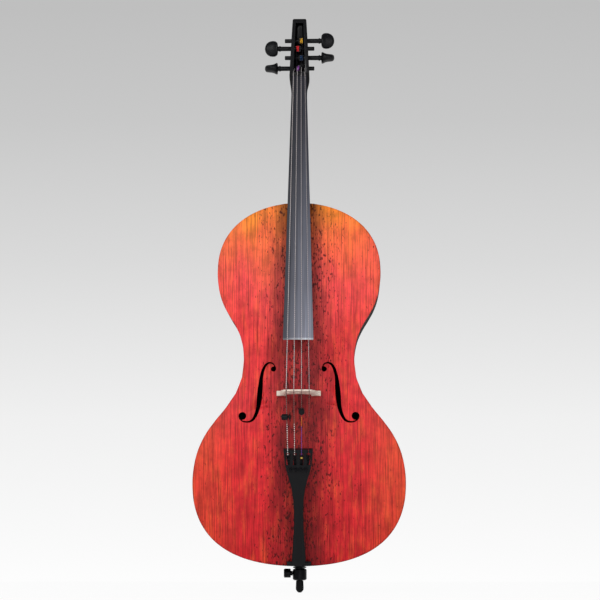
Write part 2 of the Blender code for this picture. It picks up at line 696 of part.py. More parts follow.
def winding_radius(string, side):
    """The coil's centre line lies clear of the shaft at the middle of each straight step too."""
    size = STRINGS[string][1]
    return (peg_radius(side * WINDING_EXIT) + LIE + size / 2) / math.cos(math.pi / COIL_POINTS)


def peg_exit(string):
    """The peg's axis point and the direction along which its string leaves towards the nut."""
    name, z, side, _ = next(peg for peg in PEGS if peg[0] == string)
    axis = Vector((side * WINDING_EXIT, PEG_Y, BODY_FOOT + z))
    nut = string_over_nut(string)[0]
    flat = Vector((0, nut.y - axis.y, nut.z - axis.z))
    radius = winding_radius(string, side)
    turn = math.asin(radius / flat.length)
    along = Matrix.Rotation(-turn, 3, "X") @ flat.normalized()
    if (along.cross(Vector((1, 0, 0)))).y > 0:
        along = Matrix.Rotation(turn, 3, "X") @ flat.normalized()
    return axis, along, radius, side


def off_axis(along):
    """The way from a peg's axis to the point where a string along this direction leaves it."""
    away = along.cross(Vector((1, 0, 0)))
    return away if away.y < 0 else -away


def make_winding(string, z, side, silk):
    """One unbroken tube that winds from the peg's middle out to where the string leaves."""
    place, size, turns = STRINGS[string]
    axis, along, radius, _ = peg_exit(string)
    out = off_axis(along)
    pitch = size + COIL_GAP
    count = round(turns * COIL_POINTS)
    points = []
    for i in range(count + 1):
        back = (count - i) / COIL_POINTS
        turn = 2 * math.pi * back
        points.append(axis + radius * (out * math.cos(turn) - along * math.sin(turn)) - Vector((side * pitch * back, 0, 0)))
    points.append(points[-1] + along * size)
    gap = min(
        (points[i] - points[j]).length
        for i in range(len(points)) for j in range(i + COIL_POINTS // 2, len(points))
    ) - size
    print(f"winding_{string}: {turns} turns, least gap to itself {gap:.2f} mm")
    tube(f"winding_{string}", points, size / 2, 1, silk, origin=(0, PEG_Y, BODY_FOOT + z))


def make_strings(steel):
    for string, (place, size, _) in STRINGS.items():
        axis, along, radius, side = peg_exit(string)
        swept = math.hypot(radius, size) + size / 2
        clear = swept + size / 2 + LIE
        start = axis + off_axis(along) * radius + along * math.sqrt(clear**2 - radius**2)
        behind, front = string_over_nut(string)
        start.x = between(start.x, behind.x, (start.z - axis.z) / (behind.z - axis.z))
        route = [start, behind, front, string_at_bridge(place), string_at_tail(place)]
        tube(f"string_{string}", route, size / 2, 2, steel)


# Bridge


def make_bridge(maple):
    """Feet, legs and waist as one outline, with a heart and two kidneys cut through."""
    crown = -BRIDGE_CROWN_Y + 0.3
    foot = -(TOP_Y - TOP_ARCH) - 7
    high = crown - foot
    edge = BRIDGE_TOP_WIDTH / 2
    arc = [(between(-edge, edge, i / 12), 0) for i in range(13)]
    top = [(x, high - sag(x, BRIDGE_RADIUS)) for x, _ in arc]
    toe = BRIDGE_SPAN / 2
    # Down the right side from under the top corner, as (x, height above the foot's plane)
    side = curve_through([(edge + 0.6, 0.88 * high), (edge - 3, 0.76 * high), (edge + 2, 0.66 * high),
                          (edge + 6, 0.585 * high), (edge + 1, 0.52 * high), (edge - 1, 0.46 * high),
                          (edge + 3, 0.32 * high), (edge + 8, 0.20 * high), (toe - 5, 0.145 * high)], 2)
    inner = curve_through([(toe - 16.5, 0.13 * high), (toe - 16, 0.22 * high), (toe - 21, 0.34 * high),
                           (toe - 33, 0.43 * high), (0, 0.455 * high)], 3)
    right = side + [(toe, 0.11 * high), (toe, 0), (toe - 19.5, 0), (toe - 19.5, 0.07 * high)] + inner
    left = [(-x, height) for x, height in reversed(right[:-1])]
    shape = top[::-1][:1] + right + left + top[:-1]

    def place(u, v, w):
        thick = between(BRIDGE_FOOT_THICK, BRIDGE_TOP_THICK, min(v / high, 1.0)) / 2
        return u, -(foot + v), BRIDGE_Z + w * thick

    obj = to_object(prism(shape, -1, 1, place), "bridge", maple)
    heart = curve_through([(0, 0.60 * high), (5.5, 0.67 * high), (8.2, 0.735 * high), (5.0, 0.775 * high),
                           (0, 0.745 * high), (-5.0, 0.775 * high), (-8.2, 0.735 * high), (-5.5, 0.67 * high),
                           (0, 0.60 * high)], 2)[:-1]
    kidney = [(20.5 + 5.2 * math.cos(t), 0.665 * high + 7.0 * math.sin(t))
              for t in (2 * math.pi * i / 14 for i in range(14))]
    holes = {"heart": heart, "kidney_right": kidney, "kidney_left": [(-x, v) for x, v in kidney]}
    for name, hole in holes.items():
        cut(obj, prism(hole, -10, 10, lambda u, v, w: (u, -(foot + v), BRIDGE_Z + w)), name)
    gauge = rings_to_sheet(top_rings(SEAT))
    bmesh.ops.holes_fill(gauge, edges=[edge for edge in gauge.edges if edge.is_boundary])
    bmesh.ops.recalc_face_normals(gauge, faces=gauge.faces)
    cut(obj, gauge, "top_arch")
    for string, (place_at, size, _) in STRINGS.items():
        spot = string_at_bridge(place_at)
        reach = size / 2 + LIE
        low, far = (spot.x - reach, spot.y - 9, BRIDGE_Z - 9), (spot.x + reach, spot.y + reach + 0.25, BRIDGE_Z + 9)
        cut(obj, block(low, far), f"notch_{string}")


# Tailpiece and fine tuners


def tail_half(along):
    for (low, one), (high, two) in zip(TAIL_WIDTHS, TAIL_WIDTHS[1:]):
        if along <= high:
            return between(one, two, (along - low) / (high - low)) / 2
    return TAIL_WIDTHS[-1][1] / 2


def tail_front(x, along):
    crown = between(TAIL_FRONT_FOOT, TAIL_FRONT_TOP, along / TAIL_LENGTH)
    return crown + TAIL_CROWN * (x / (TAIL_WIDTHS[-1][1] / 2)) ** 2


def tail_back(along):
    return between(TAIL_BACK_FOOT, TAIL_BACK_TOP, along / TAIL_LENGTH)


def make_tailpiece(moulding, steel, frame):
    """A moulded wedge with a hollow head, whose slots and holes carry the fine tuners."""
    rings = []
    for along, width in TAIL_WIDTHS:
        half = width / 2
        front = [(x, tail_front(x, along), along) for x in (between(-half, half, i / 8) for i in range(9))]
        back = tail_back(along)
        rings.append(front + [(half, back - 2, along), (half - 2, back, along), (2 - half, back, along), (-half, back - 2, along)])
    obj = to_object(loft(rings), "tailpiece", moulding, parent=frame)
    hollow = []
    for along in (HOUSING_FROM, SCREW_ALONG, 210.0, TAIL_LENGTH - TAIL_SIDE):
        half = tail_half(along) - TAIL_SIDE
        front = [(x, tail_front(x, along) + TAIL_SKIN, along) for x in (between(-half, half, i / 6) for i in range(7))]
        hollow.append(front + [(half, 30, along), (-half, 30, along)])
    cut(obj, loft(hollow), "housing", parent=frame)
    for string, (place, size, _) in STRINGS.items():
        x, reach = place * TAIL_PITCH, SLOT_WIDTH / 2
        cut(obj, block((x - reach, -9, SLOT_FROM), (x + reach, 12, SLOT_TO)), f"slot_{string}", parent=frame)
        hole = cylinder(around(SCREW_R, 14), -12, 9, 14, screw_place(place))
        cut(obj, hole, f"screw_hole_{string}", parent=frame)
    half = tail_half(PIVOT_ALONG)
    cut(obj, cylinder(around(PIVOT_R, 12), -half - 5, half + 5, 12, pivot_place()), "pin_hole", parent=frame)
    for side, name in ((-1, "left"), (1, "right")):
        start, end = cord_hole(side)
        span = end - start
        turn = span.to_track_quat("Z", "Y").to_matrix().to_4x4()
        hole = cylinder((CORD_R + LIE) / math.cos(math.pi / 12), 0, span.length, 12, Matrix.Translation(start) @ turn)
        cut(obj, hole, f"cord_hole_{name}", parent=frame)
    pin = cylinder(PIVOT_R, -half + 0.6, half - 0.6, 12, pivot_place())
    to_object(pin, "tuner_pin", steel, origin=(0, PIVOT_DEPTH, PIVOT_ALONG), parent=frame)


def pivot_place():
    return Matrix.Translation((0, PIVOT_DEPTH, PIVOT_ALONG)) @ Matrix.Rotation(math.pi / 2, 4, "Y")


def screw_place(place):
    """Turn Z to point back into the tailpiece, on the screw's axis."""
    return Matrix.Translation((place * SCREW_PITCH_X, 0, SCREW_ALONG)) @ Matrix.Rotation(-math.pi / 2, 4, "X")


def cord_hole(side):
    """The tail cord's hole, from inside the tailpiece out through its back."""
    return Vector((side * CORD_X, tail_back(30) - 4.6, 30)), Vector((side * CORD_X, tail_back(12) + 2.4, 12))


def make_tuners(steel, brass, frame):
    profile = [(ARM_TOP, SCREW_ALONG - 3.4), (ARM_TOP, 219.4), (2.7, 221.6), (2.7, 227.4), (-3.4, 227.4),
               (-3.8, 229.0), (-3.0, 230.8), (3.0, 231.4), (ARM_BOTTOM, 230.0), (ARM_BOTTOM, SCREW_ALONG - 2.4)]
    for string, (place, size, _) in STRINGS.items():
        fork_x, screw_x = place * TAIL_PITCH, place * SCREW_PITCH_X
        half = LEVER_WIDTH / 2

        def lean(v, w, u):
            """Shear the lever sideways, from its fork to its own screw."""
            share = max(0.0, (PIVOT_ALONG - 6 - w) / (PIVOT_ALONG - 6 - SCREW_ALONG))
            return between(fork_x, screw_x, share) + u, v, w

        bm = prism(profile, -half, half, lean)
        pivot = (fork_x, PIVOT_DEPTH, PIVOT_ALONG)
        lever = to_object(bm, f"tuner_lever_{string}", steel, origin=pivot, parent=frame)
        gap = FORK_GAP / 2
        cut(lever, block((fork_x - gap, -9, 226.0), (fork_x + gap, 1.9, 234.0)), "fork", parent=frame)
        cut(lever, cylinder(around(PIVOT_R, 12), -30, 30, 12, pivot_place()), "pivot", parent=frame)
        ball = cylinder(BALL_R, fork_x - BALL_LENGTH / 2, fork_x + BALL_LENGTH / 2, 12,
                        Matrix.Translation((0, 0, BALL_ALONG)) @ Matrix.Rotation(math.pi / 2, 4, "Y"))
        to_object(ball, f"ball_end_{string}", brass, origin=(fork_x, 0, BALL_ALONG), parent=frame)
        seat = tail_front(max(abs(screw_x) - SCREW_KNOB_R, 0), SCREW_ALONG) - 0.4
        tip, knob = ARM_TOP - SEAT, SCREW_KNOB_R
        turn = [(0, seat - SCREW_KNOB_HIGH), (knob - 1.2, seat - SCREW_KNOB_HIGH), (knob, seat - SCREW_KNOB_HIGH + 1.2),
                (knob, seat), (SCREW_R, seat), (SCREW_R, tip), (0, tip)]
        to_object(turned(turn, 12, screw_place(place)), f"tuner_screw_{string}", steel,
                  origin=(screw_x, seat, SCREW_ALONG), parent=frame)


# Saddle, tail cord and endpin


def make_saddle(ebony):
    half = SADDLE_WIDTH / 2
    low, high = BODY_FOOT + 0.6, BODY_FOOT + SADDLE_HIGH
    crest = SADDLE_CREST_Y
    shape = [(RIB_Y - SEAT, low), (RIB_Y - SEAT, high), (crest + 1.5, high), (crest + 0.2, high - 2.2), (crest, high - 4.4),
             (crest + 0.5, high - 6.6), (crest + 2.2, low)]
    to_object(prism(shape, -half, half, lambda u, v, w: (w, u, v)), "saddle", ebony)


def make_tail_cord(nylon):
    """From one hole in the tailpiece, over the saddle, round the endpin's collar and back."""
    (start, end) = (TAIL_FRAME @ spot for spot in cord_hole(1))
    lie = BODY_FOOT - CORD_R - LIE - 0.2
    loop = GROOVE_R + LIE + CORD_R
    begin = start.lerp(end, 0.25)
    half = [
        tuple(begin), tuple(start.lerp(end, 0.85)),
        (CORD_X + 0.4, SADDLE_CREST_Y - CORD_R - 0.45, BODY_FOOT + 5.0),
        (CORD_X + 0.8, TOP_Y - 2.6, lie - 0.1),
        (CORD_X + 2.4, TOP_Y + 12, lie - 0.5),
        (loop * 0.93, -14.0, lie - 0.4),
        (loop, 0.0, lie - 0.4),
        (loop * math.sin(math.pi / 4), loop * math.cos(math.pi / 4), lie - 0.4),
    ]
    route = half + [(0.0, loop, lie - 0.4)] + [(-x, y, z) for x, y, z in reversed(half)]
    tube("tail_cord", curve_through(route, 2), CORD_R, 2, nylon)


def make_endpin(metal, carbon, rubber):
    foot = BODY_FOOT
    profile = [(SOCKET_BORE_R, COLLAR_FOOT), (COLLAR_R - 3.0, COLLAR_FOOT), (COLLAR_R, COLLAR_FOOT + 2.4),
               (COLLAR_R, COLLAR_TOP - 2.0), (COLLAR_R - 1.8, COLLAR_TOP), (GROOVE_R, COLLAR_TOP), (GROOVE_R, -0.4),
               (SOCKET_R, -0.2), (SOCKET_END_R, LOWER_BLOCK_DEPTH + 3.0), (SOCKET_BORE_R, LOWER_BLOCK_DEPTH + 3.0)]
    profile = [(radius, foot + z) for radius, z in profile]
    socket = to_object(turned(profile, SOCKET_SIDES), "endpin_socket", metal)
    thumb = Matrix.Translation((0, 0, foot + THUMB_Z)) @ Matrix.Rotation(-math.pi / 2, 4, "Y")
    cut(socket, cylinder(around(THUMB_SHANK_R, 14), 0, 30, 14, thumb), "thumb_hole")
    rod = [(0, foot + ROD_FOOT), (ROD_R - 1, foot + ROD_FOOT), (ROD_R, foot + ROD_FOOT + 1),
           (ROD_R, foot + ROD_TOP - 1), (ROD_R - 1, foot + ROD_TOP), (0, foot + ROD_TOP)]
    to_object(turned(rod, 16), "endpin_rod", carbon)
    top, bore = foot + COLLAR_FOOT - SEAT, around(ROD_R, 16)
    tip = [(0, 0), (2.6, 0), (5.4, 2.2), (TIP_R_LOW - 0.5, 5.6), (TIP_R_LOW, 9.0), (TIP_R_TOP, top - 1.0),
           (TIP_R_TOP - 0.8, top), (bore, top), (bore, foot + ROD_FOOT - SEAT), (0, foot + ROD_FOOT - SEAT)]
    to_object(turned(tip, 16), "endpin_tip", rubber)
    near, knob = -THUMB_FROM, -THUMB_TO
    screw = [(0, ROD_R + SEAT), (THUMB_SHANK_R - 0.6, ROD_R + SEAT), (THUMB_SHANK_R, ROD_R + SEAT + 0.6),
             (THUMB_SHANK_R, COLLAR_R + SEAT), (THUMB_NECK_R, COLLAR_R + SEAT), (THUMB_NECK_R, near),
             (THUMB_R - 0.9, near), (THUMB_R, near + 1.2), (THUMB_R, knob - 1.4), (THUMB_R - 1.4, knob), (0, knob)]
    to_object(turned(screw, 16, thumb), "thumb_screw", metal, origin=(0, 0, foot + THUMB_Z))


# Wolf eliminators


def make_wolves(black):
    """A short barrel slotted over the string and held by a disc-headed clamp screw."""
    for string, z, turn in WOLVES:
        place = STRINGS[string][0]
        one, two = string_at_bridge(place), string_at_tail(place)
        middle = one.lerp(two, (one.z - (BODY_FOOT + z)) / (one.z - two.z))
        lean = (one - two).to_track_quat("Z", "Y").to_matrix().to_4x4()
        frame = Matrix.Translation(middle) @ lean @ Matrix.Rotation(turn, 4, "Z") @ Matrix.Rotation(math.pi / 2, 4, "Y")
        size = STRINGS[string][1]
        back, face = -WOLF_LENGTH + 2.2, 2.2
        barrel = [(0, back), (WOLF_R - 1.2, back), (WOLF_R, back + 1.2), (WOLF_R, face - 0.8), (WOLF_R - 0.8, face), (0, face)]
        obj = to_object(turned(barrel, 14, frame), f"wolf_barrel_{string}", black)
        reach = size / 2 + LIE
        slot = block((-9, -reach, -reach), (9, 9, reach))
        bmesh.ops.transform(slot, verts=slot.verts, matrix=frame)
        cut(obj, slot, "string_slot")
        cut(obj, cylinder(around(1.6, 12), reach - 0.2, 9, 12, frame), "screw_hole")
        start, disc = reach + SEAT, face + WOLF_GROOVE
        screw = [(0, start), (1.6, start), (1.6, disc), (WOLF_R - 0.8, disc), (WOLF_R, disc + 0.8),
                 (WOLF_R, disc + WOLF_DISC - 0.8), (WOLF_R - 0.8, disc + WOLF_DISC), (0, disc + WOLF_DISC)]
        to_object(turned(screw, 14, frame), f"wolf_screw_{string}", black)


def main():
    clear_scene()
    carbon = material("gloss_carbon", (0.012, 0.012, 0.014), 0.22)
    varnish = material("red_varnished_top", (0.42, 0.045, 0.02), 0.35)
    ebony = material("satin_black_board", (0.03, 0.03, 0.033), 0.45)
    moulding = material("black_moulding", (0.015, 0.016, 0.018), 0.4)
    steel = material("steel_string", (0.62, 0.6, 0.6), 0.3, 1.0)
    black_steel = material("blackened_steel", (0.03, 0.03, 0.03), 0.35, 1.0)
    brass = material("brass", (0.6, 0.42, 0.16), 0.3, 1.0)
    rubber = material("black_rubber", (0.02, 0.02, 0.02), 0.8)
    maple = material("maple", (0.8, 0.68, 0.5), 0.5)
    nylon = material("black_nylon", (0.02, 0.02, 0.02), 0.5)
    silks = {
        "c": material("silk_violet", (0.33, 0.13, 0.42), 0.6),
        "g": material("silk_red", (0.7, 0.02, 0.03), 0.6),
        "d": material("silk_gold", (0.75, 0.5, 0.08), 0.6),
        "a": material("silk_blue", (0.02, 0.12, 0.3), 0.6),
    }
    frame = bpy.data.objects.new("tailpiece_frame", None)
    frame.location = TAIL_FRAME.translation * MM
    frame.rotation_euler = (TAIL_TILT, 0, 0)
    bpy.context.scene.collection.objects.link(frame)

    make_body(carbon, varnish)
    make_neck(carbon)
    make_fingerboard(ebony)
    make_nut(ebony)
    make_pegs(ebony, silks)
    make_strings(steel)
    make_bridge(maple)
    make_tailpiece(moulding, black_steel, frame)
    make_tuners(black_steel, brass, frame)
    make_saddle(ebony)
    make_tail_cord(nylon)
    make_endpin(black_steel, carbon, rubber)
    make_wolves(moulding)


main()
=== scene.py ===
"""Finish of a full-size cornerless carbon cello with a red varnished top.

Lengths are metres, in the model's own frame: +Z runs up the neck and the strings face -Y.
"""

import json
import math

import bmesh
import bpy
from bpy.props import FloatProperty, FloatVectorProperty, IntProperty, PointerProperty
from mathutils import Matrix, Vector
from mathutils.kdtree import KDTree


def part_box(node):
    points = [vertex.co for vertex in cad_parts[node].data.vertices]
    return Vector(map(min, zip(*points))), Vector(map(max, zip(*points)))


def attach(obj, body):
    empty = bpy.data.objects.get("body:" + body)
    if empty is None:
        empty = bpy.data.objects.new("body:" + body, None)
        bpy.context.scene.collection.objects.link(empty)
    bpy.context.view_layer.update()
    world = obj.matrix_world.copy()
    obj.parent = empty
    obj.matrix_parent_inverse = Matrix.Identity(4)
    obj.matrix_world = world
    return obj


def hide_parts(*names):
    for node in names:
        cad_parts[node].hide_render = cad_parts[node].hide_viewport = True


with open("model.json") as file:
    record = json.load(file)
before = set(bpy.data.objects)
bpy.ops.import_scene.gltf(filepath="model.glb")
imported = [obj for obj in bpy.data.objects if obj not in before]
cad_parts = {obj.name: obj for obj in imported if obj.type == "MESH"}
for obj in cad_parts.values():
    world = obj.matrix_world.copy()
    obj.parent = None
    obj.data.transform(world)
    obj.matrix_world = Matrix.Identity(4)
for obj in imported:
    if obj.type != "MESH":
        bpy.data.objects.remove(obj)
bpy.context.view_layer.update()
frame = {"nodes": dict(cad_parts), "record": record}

bl_info = {
    "name": "Carbon Cello Finish",
    "version": (1, 0, 0),
    "blender": (4, 5, 0),
    "location": "View3D > Sidebar > Cello",
    "description": "Finishes and fine pieces of a carbon cello",
    "category": "Object",
}

MM = 0.001
COURSES = "cgda"

# Heights along the instrument, from the CAD pieces
BODY_LOW, BODY_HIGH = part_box("back_shell")[0].z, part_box("back_shell")[1].z
NUT_LOW, NUT_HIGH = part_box("nut")[0].z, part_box("nut")[1].z
BOARD_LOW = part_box("fingerboard")[0].z
BRIDGE_Z = (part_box("bridge")[0].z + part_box("bridge")[1].z) / 2

# Strings: place across, diameter, turns on the peg, the peg's height and the side its head is on
STRINGS = {
    "c": (-1.5, 1.70 * MM, 4.5, 1107.5 * MM, -1),
    "g": (-0.5, 1.40 * MM, 5.0, 1150.6 * MM, -1),
    "d": (0.5, 1.15 * MM, 5.5, 1167.4 * MM, 1),
    "a": (1.5, 0.95 * MM, 6.0, 1130.5 * MM, 1),
}
NUT_PITCH, BRIDGE_PITCH, TAIL_PITCH = 8.1 * MM, 15.6 * MM, 14.0 * MM
NUT_Y, NUT_DROP, BRIDGE_Y, ARC_RADIUS = -43.8 * MM, 0.6 * MM, -174.0 * MM, 62.0 * MM
TAIL_SLOT = Vector((0, -133.65 * MM, 278.92 * MM))
PEG_Y, PEG_EXIT_X, COIL_GAP, LIE = -10.0 * MM, 7.5 * MM, 0.5 * MM, 0.3 * MM
PEG_TIP_AT, PEG_SHOULDER_AT, PEG_TIP_R, PEG_HEAD_R = 31.5 * MM, 44.0 * MM, 4.35 * MM, 5.0 * MM
SILK_ABOVE = 1100 * MM  # above this height a string is dull and dark, up to its peg
STRING_DARK = "#151316"
STRING_STEP = 20 * MM  # a string has a point about this often


def colour(code):
    """A hex sRGB colour as linear red, green, blue and alpha."""
    parts = [int(code[i:i + 2], 16) / 255 for i in (1, 3, 5)]
    return (*(v / 12.92 if v <= 0.04045 else ((v + 0.055) / 1.055) ** 2.4 for v in parts), 1.0)


def between(low, high, share):
    return low + (high - low) * share


class CelloFinish(bpy.types.PropertyGroup):
    """Sizes and colours that a user would change."""
    varnish: FloatVectorProperty(name="Varnish", description="Main red of the varnish", subtype="COLOR",
                                 size=4, default=colour("#D63237"), min=0, max=1)
    amber: FloatVectorProperty(name="Amber", description="Where the varnish is thin and shows orange",
                               subtype="COLOR", size=4, default=colour("#F47A34"), min=0, max=1)
    # Soot also gives the colour of the painted shade beside the fingerboard, bridge and tailpiece
    soot_and_shade: FloatVectorProperty(name="Soot", description="Dark brown worked into the varnish",
                              subtype="COLOR", size=4, default=colour("#2A0507"), min=0, max=1)
    grain_step: FloatProperty(name="Grain step", description="Distance between grain lines",
                              subtype="DISTANCE", default=1.9 * MM, min=0.5 * MM, max=20 * MM)
    edge_round: FloatProperty(name="Edge rounding", description="Radius on the edges of hard pieces",
                              subtype="DISTANCE", default=0.5 * MM, min=0.05 * MM, max=3 * MM)
    cord_sides: IntProperty(name="Cord detail", description="Bevel steps round a string or cord", default=4,
                            min=1, max=12)


def add(tree, kind, inputs=None, stops=None, **settings):
    """Adds a node with its settings, ramp stops (hex code, colour or grey), values and links."""
    made = tree.nodes.new(kind)
    for key, value in settings.items():
        setattr(made, key, value)
    if stops:
        elements = made.color_ramp.elements
        while len(elements) < len(stops):
            elements.new(1.0)
        for element, (at, shade) in zip(elements, stops):
            element.position = at
            if isinstance(shade, str):
                shade = colour(shade)
            element.color = shade if isinstance(shade, tuple) else (shade, shade, shade, 1.0)
    for key, value in (inputs or {}).items():
        if isinstance(value, bpy.types.NodeSocket):
            tree.links.new(value, made.inputs[key])
        else:
            made.inputs[key].default_value = value
    return made


# Specular level of every finish, low because the studio around it is wide and pale
SPECULAR = 0.14


def new_material(name):
    """An empty material with its shader, ready for a pattern."""
    made = bpy.data.materials.new(name)
    made.use_nodes = True
    tree = made.node_tree
    shader = tree.nodes["Principled BSDF"]
    shader.inputs["Specular IOR Level"].default_value = SPECULAR
    return made, tree, shader


def stretched(tree, size):
    """Object coordinates divided by a real size along each axis."""
    where = add(tree, "ShaderNodeTexCoord")
    scale = tuple(1.0 / part for part in size)
    return add(tree, "ShaderNodeMapping", {"Vector": where.outputs["Object"], "Scale": scale}).outputs[0]


def varnish_material(finish):
    """Antiqued spirit varnish over a spruce-look plate: red, thin and orange towards the rim and the neck,
    sooty and darkened with painted shade beside the fingerboard, bridge and tailpiece, with grain, mottling
    and crackle."""
    made, tree, shader = new_material("antiqued_varnish")
    red, amber, soot_and_shade = tuple(finish.varnish), tuple(finish.amber), tuple(finish.soot_and_shade)
    place = add(tree, "ShaderNodeSeparateXYZ", {0: add(tree, "ShaderNodeTexCoord").outputs["Object"]})
    x, z = place.outputs["X"], place.outputs["Z"]

    # Cloudy unevenness, longer up the grain than across it
    cloud = add(tree, "ShaderNodeTexNoise", {"Vector": stretched(tree, (50 * MM, 200 * MM, 160 * MM)),
                                             "Scale": 1.0, "Detail": 5.0, "Roughness": 0.6}).outputs[0]
    brushed = add(tree, "ShaderNodeTexNoise", {"Vector": stretched(tree, (13 * MM, 200 * MM, 60 * MM)),
                                               "Scale": 1.0, "Detail": 5.0, "Roughness": 0.65}).outputs[0]

    # Height up the plate, moved about by the clouds, sets how thin the varnish is
    height = add(tree, "ShaderNodeMapRange", {0: z, 1: BODY_LOW, 2: BODY_HIGH}).outputs[0]
    sway = add(tree, "ShaderNodeMath", {0: cloud, 1: 0.3, 2: -0.15}, operation="MULTIPLY_ADD").outputs[0]
    height = add(tree, "ShaderNodeMath", {0: height, 1: sway}, operation="ADD").outputs[0]
    wide = add(tree, "ShaderNodeMath", {0: x}, operation="ABSOLUTE").outputs[0]
    ground = add(tree, "ShaderNodeValToRGB", {0: height}, stops=[
        (0.0, "#C42228"), (0.3, "#D2292F"), (0.55, red),
        (0.76, "#E84846"), (0.9, "#F46A3C"), (1.0, "#FC8C2C"),
    ]).outputs[0]

    # The rim is worn thinner
    rim = add(tree, "ShaderNodeMapRange", {0: wide, 1: 110 * MM, 2: 215 * MM, 3: 0.0, 4: 0.42},
              interpolation_type="SMOOTHSTEP").outputs[0]
    rim = add(tree, "ShaderNodeMath", {0: rim, 1: cloud}, operation="MULTIPLY").outputs[0]
    body = add(tree, "ShaderNodeMix", {0: rim, 6: ground, 7: amber}, data_type="RGBA").outputs[2]

    # Amber patches where the brush ran thin
    thin = add(tree, "ShaderNodeValToRGB", {0: brushed}, stops=[(0.5, 0.0), (0.76, 0.28)]).outputs[0]
    body = add(tree, "ShaderNodeMix", {0: thin, 6: body, 7: amber}, data_type="RGBA").outputs[2]

    # Soot and painted shade beside the centre line, under the fingerboard, bridge and tailpiece
    drift = add(tree, "ShaderNodeMath", {0: brushed, 1: 60 * MM, 2: -30 * MM},
                operation="MULTIPLY_ADD").outputs[0]
    near = add(tree, "ShaderNodeMath", {0: wide, 1: drift}, operation="ADD").outputs[0]
    middle = add(tree, "ShaderNodeMapRange", {0: near, 1: 82 * MM, 2: 22 * MM, 3: 0.0, 4: 0.95},
                 interpolation_type="SMOOTHSTEP").outputs[0]
    soot_and_shade_patches = add(tree, "ShaderNodeMath", {0: cloud, 1: 1.5, 2: -0.12}, operation="MULTIPLY_ADD").outputs[0]
    middle = add(tree, "ShaderNodeMath", {0: middle, 1: soot_and_shade_patches},
                 operation="MULTIPLY", use_clamp=True).outputs[0]
    body = add(tree, "ShaderNodeMix", {0: middle, 6: body, 7: soot_and_shade}, data_type="RGBA").outputs[2]

    # Grain lines, drawn coarser than spruce's so that they show
    grain = add(tree, "ShaderNodeTexNoise", {
        "Vector": stretched(tree, (finish.grain_step, 200 * MM, 90 * MM)),
        "Scale": 1.0, "Detail": 3.0, "Roughness": 0.7,
    }).outputs[0]
    lines = add(tree, "ShaderNodeValToRGB", {0: grain},
                stops=[(0.3, 0.35), (0.5, 1.0), (0.68, 1.3)]).outputs[0]
    body = add(tree, "ShaderNodeMix", {0: 0.9, 6: body, 7: lines},
               data_type="RGBA", blend_type="MULTIPLY").outputs[2]

    # Mottling, where the colour was laid on with a cloth
    mottle = add(tree, "ShaderNodeTexNoise", {"Vector": stretched(tree, (24 * MM, 200 * MM, 30 * MM)),
                                              "Scale": 1.0, "Detail": 5.0, "Roughness": 0.6}).outputs[0]
    tone = add(tree, "ShaderNodeValToRGB", {0: mottle}, stops=[(0.3, 0.66), (0.62, 1.14)]).outputs[0]
    body = add(tree, "ShaderNodeMix", {0: 0.85, 6: body, 7: tone},
               data_type="RGBA", blend_type="MULTIPLY").outputs[2]

    # Short black crackle along the grain, thickest near the bridge
    crackle = add(tree, "ShaderNodeTexNoise", {"Vector": stretched(tree, (3 * MM, 200 * MM, 7.5 * MM)),
                                               "Scale": 1.0, "Detail": 3.0, "Roughness": 0.5}).outputs[0]
    zone = add(tree, "ShaderNodeMapRange", {0: near, 1: 120 * MM, 2: 20 * MM, 3: 0.0, 4: 0.155}).outputs[0]
    crackle = add(tree, "ShaderNodeMath", {0: crackle, 1: zone}, operation="ADD").outputs[0]
    crackle = add(tree, "ShaderNodeMath", {0: crackle, 1: sway}, operation="SUBTRACT").outputs[0]
    marks = add(tree, "ShaderNodeValToRGB", {0: crackle}, stops=[(0.70, 0.0), (0.76, 0.85)]).outputs[0]
    body = add(tree, "ShaderNodeMix", {0: marks, 6: body, 7: soot_and_shade}, data_type="RGBA").outputs[2]
    tree.links.new(body, shader.inputs["Base Color"])

    relief = add(tree, "ShaderNodeMath", {0: grain, 1: marks}, operation="SUBTRACT").outputs[0]
    bump = add(tree, "ShaderNodeBump", {"Height": relief, "Distance": 0.3 * MM, "Strength": 0.5}).outputs[0]
    tree.links.new(bump, shader.inputs["Normal"])
    gloss = add(tree, "ShaderNodeMapRange", {0: cloud, 3: 0.38, 4: 0.55}).outputs[0]
    tree.links.new(gloss, shader.inputs["Roughness"])
    return made


def carbon_material():
    """Clear-coated twill laminate: near black, the tows showing only as a slight change of sheen."""
    made, tree, shader = new_material("carbon_twill")
    tow = 3.5 * MM
    weave = add(tree, "ShaderNodeTexWave", {"Vector": stretched(tree, (tow, tow, tow)), "Scale": 0.4},
                wave_type="BANDS", bands_direction="DIAGONAL").outputs[1]
    shade = add(tree, "ShaderNodeValToRGB", {0: weave},
                stops=[(0.35, "#060607"), (0.65, "#0D0D10")]).outputs[0]
    tree.links.new(shade, shader.inputs["Base Color"])
    sheen = add(tree, "ShaderNodeMapRange", {0: weave, 3: 0.28, 4: 0.42}).outputs[0]
    tree.links.new(sheen, shader.inputs["Roughness"])

    # Rubbed down on the ribs: coat and reflection fade where the surface turns away from front and back
    facing = add(tree, "ShaderNodeTexCoord").outputs["Normal"]
    facing = add(tree, "ShaderNodeSeparateXYZ", {0: facing}).outputs["Y"]
    turn = add(tree, "ShaderNodeMath", {0: facing}, operation="ABSOLUTE").outputs[0]
    coat = add(tree, "ShaderNodeMapRange", {0: turn, 1: 0.15, 2: 0.5, 3: 0.0, 4: 0.3}).outputs[0]
    tree.links.new(coat, shader.inputs["Coat Weight"])
    bend = add(tree, "ShaderNodeMapRange", {0: turn, 1: 0.15, 2: 0.5, 3: 1.02, 4: 1.45}).outputs[0]
    tree.links.new(bend, shader.inputs["IOR"])
    shader.inputs["Coat Roughness"].default_value = 0.12
    return made


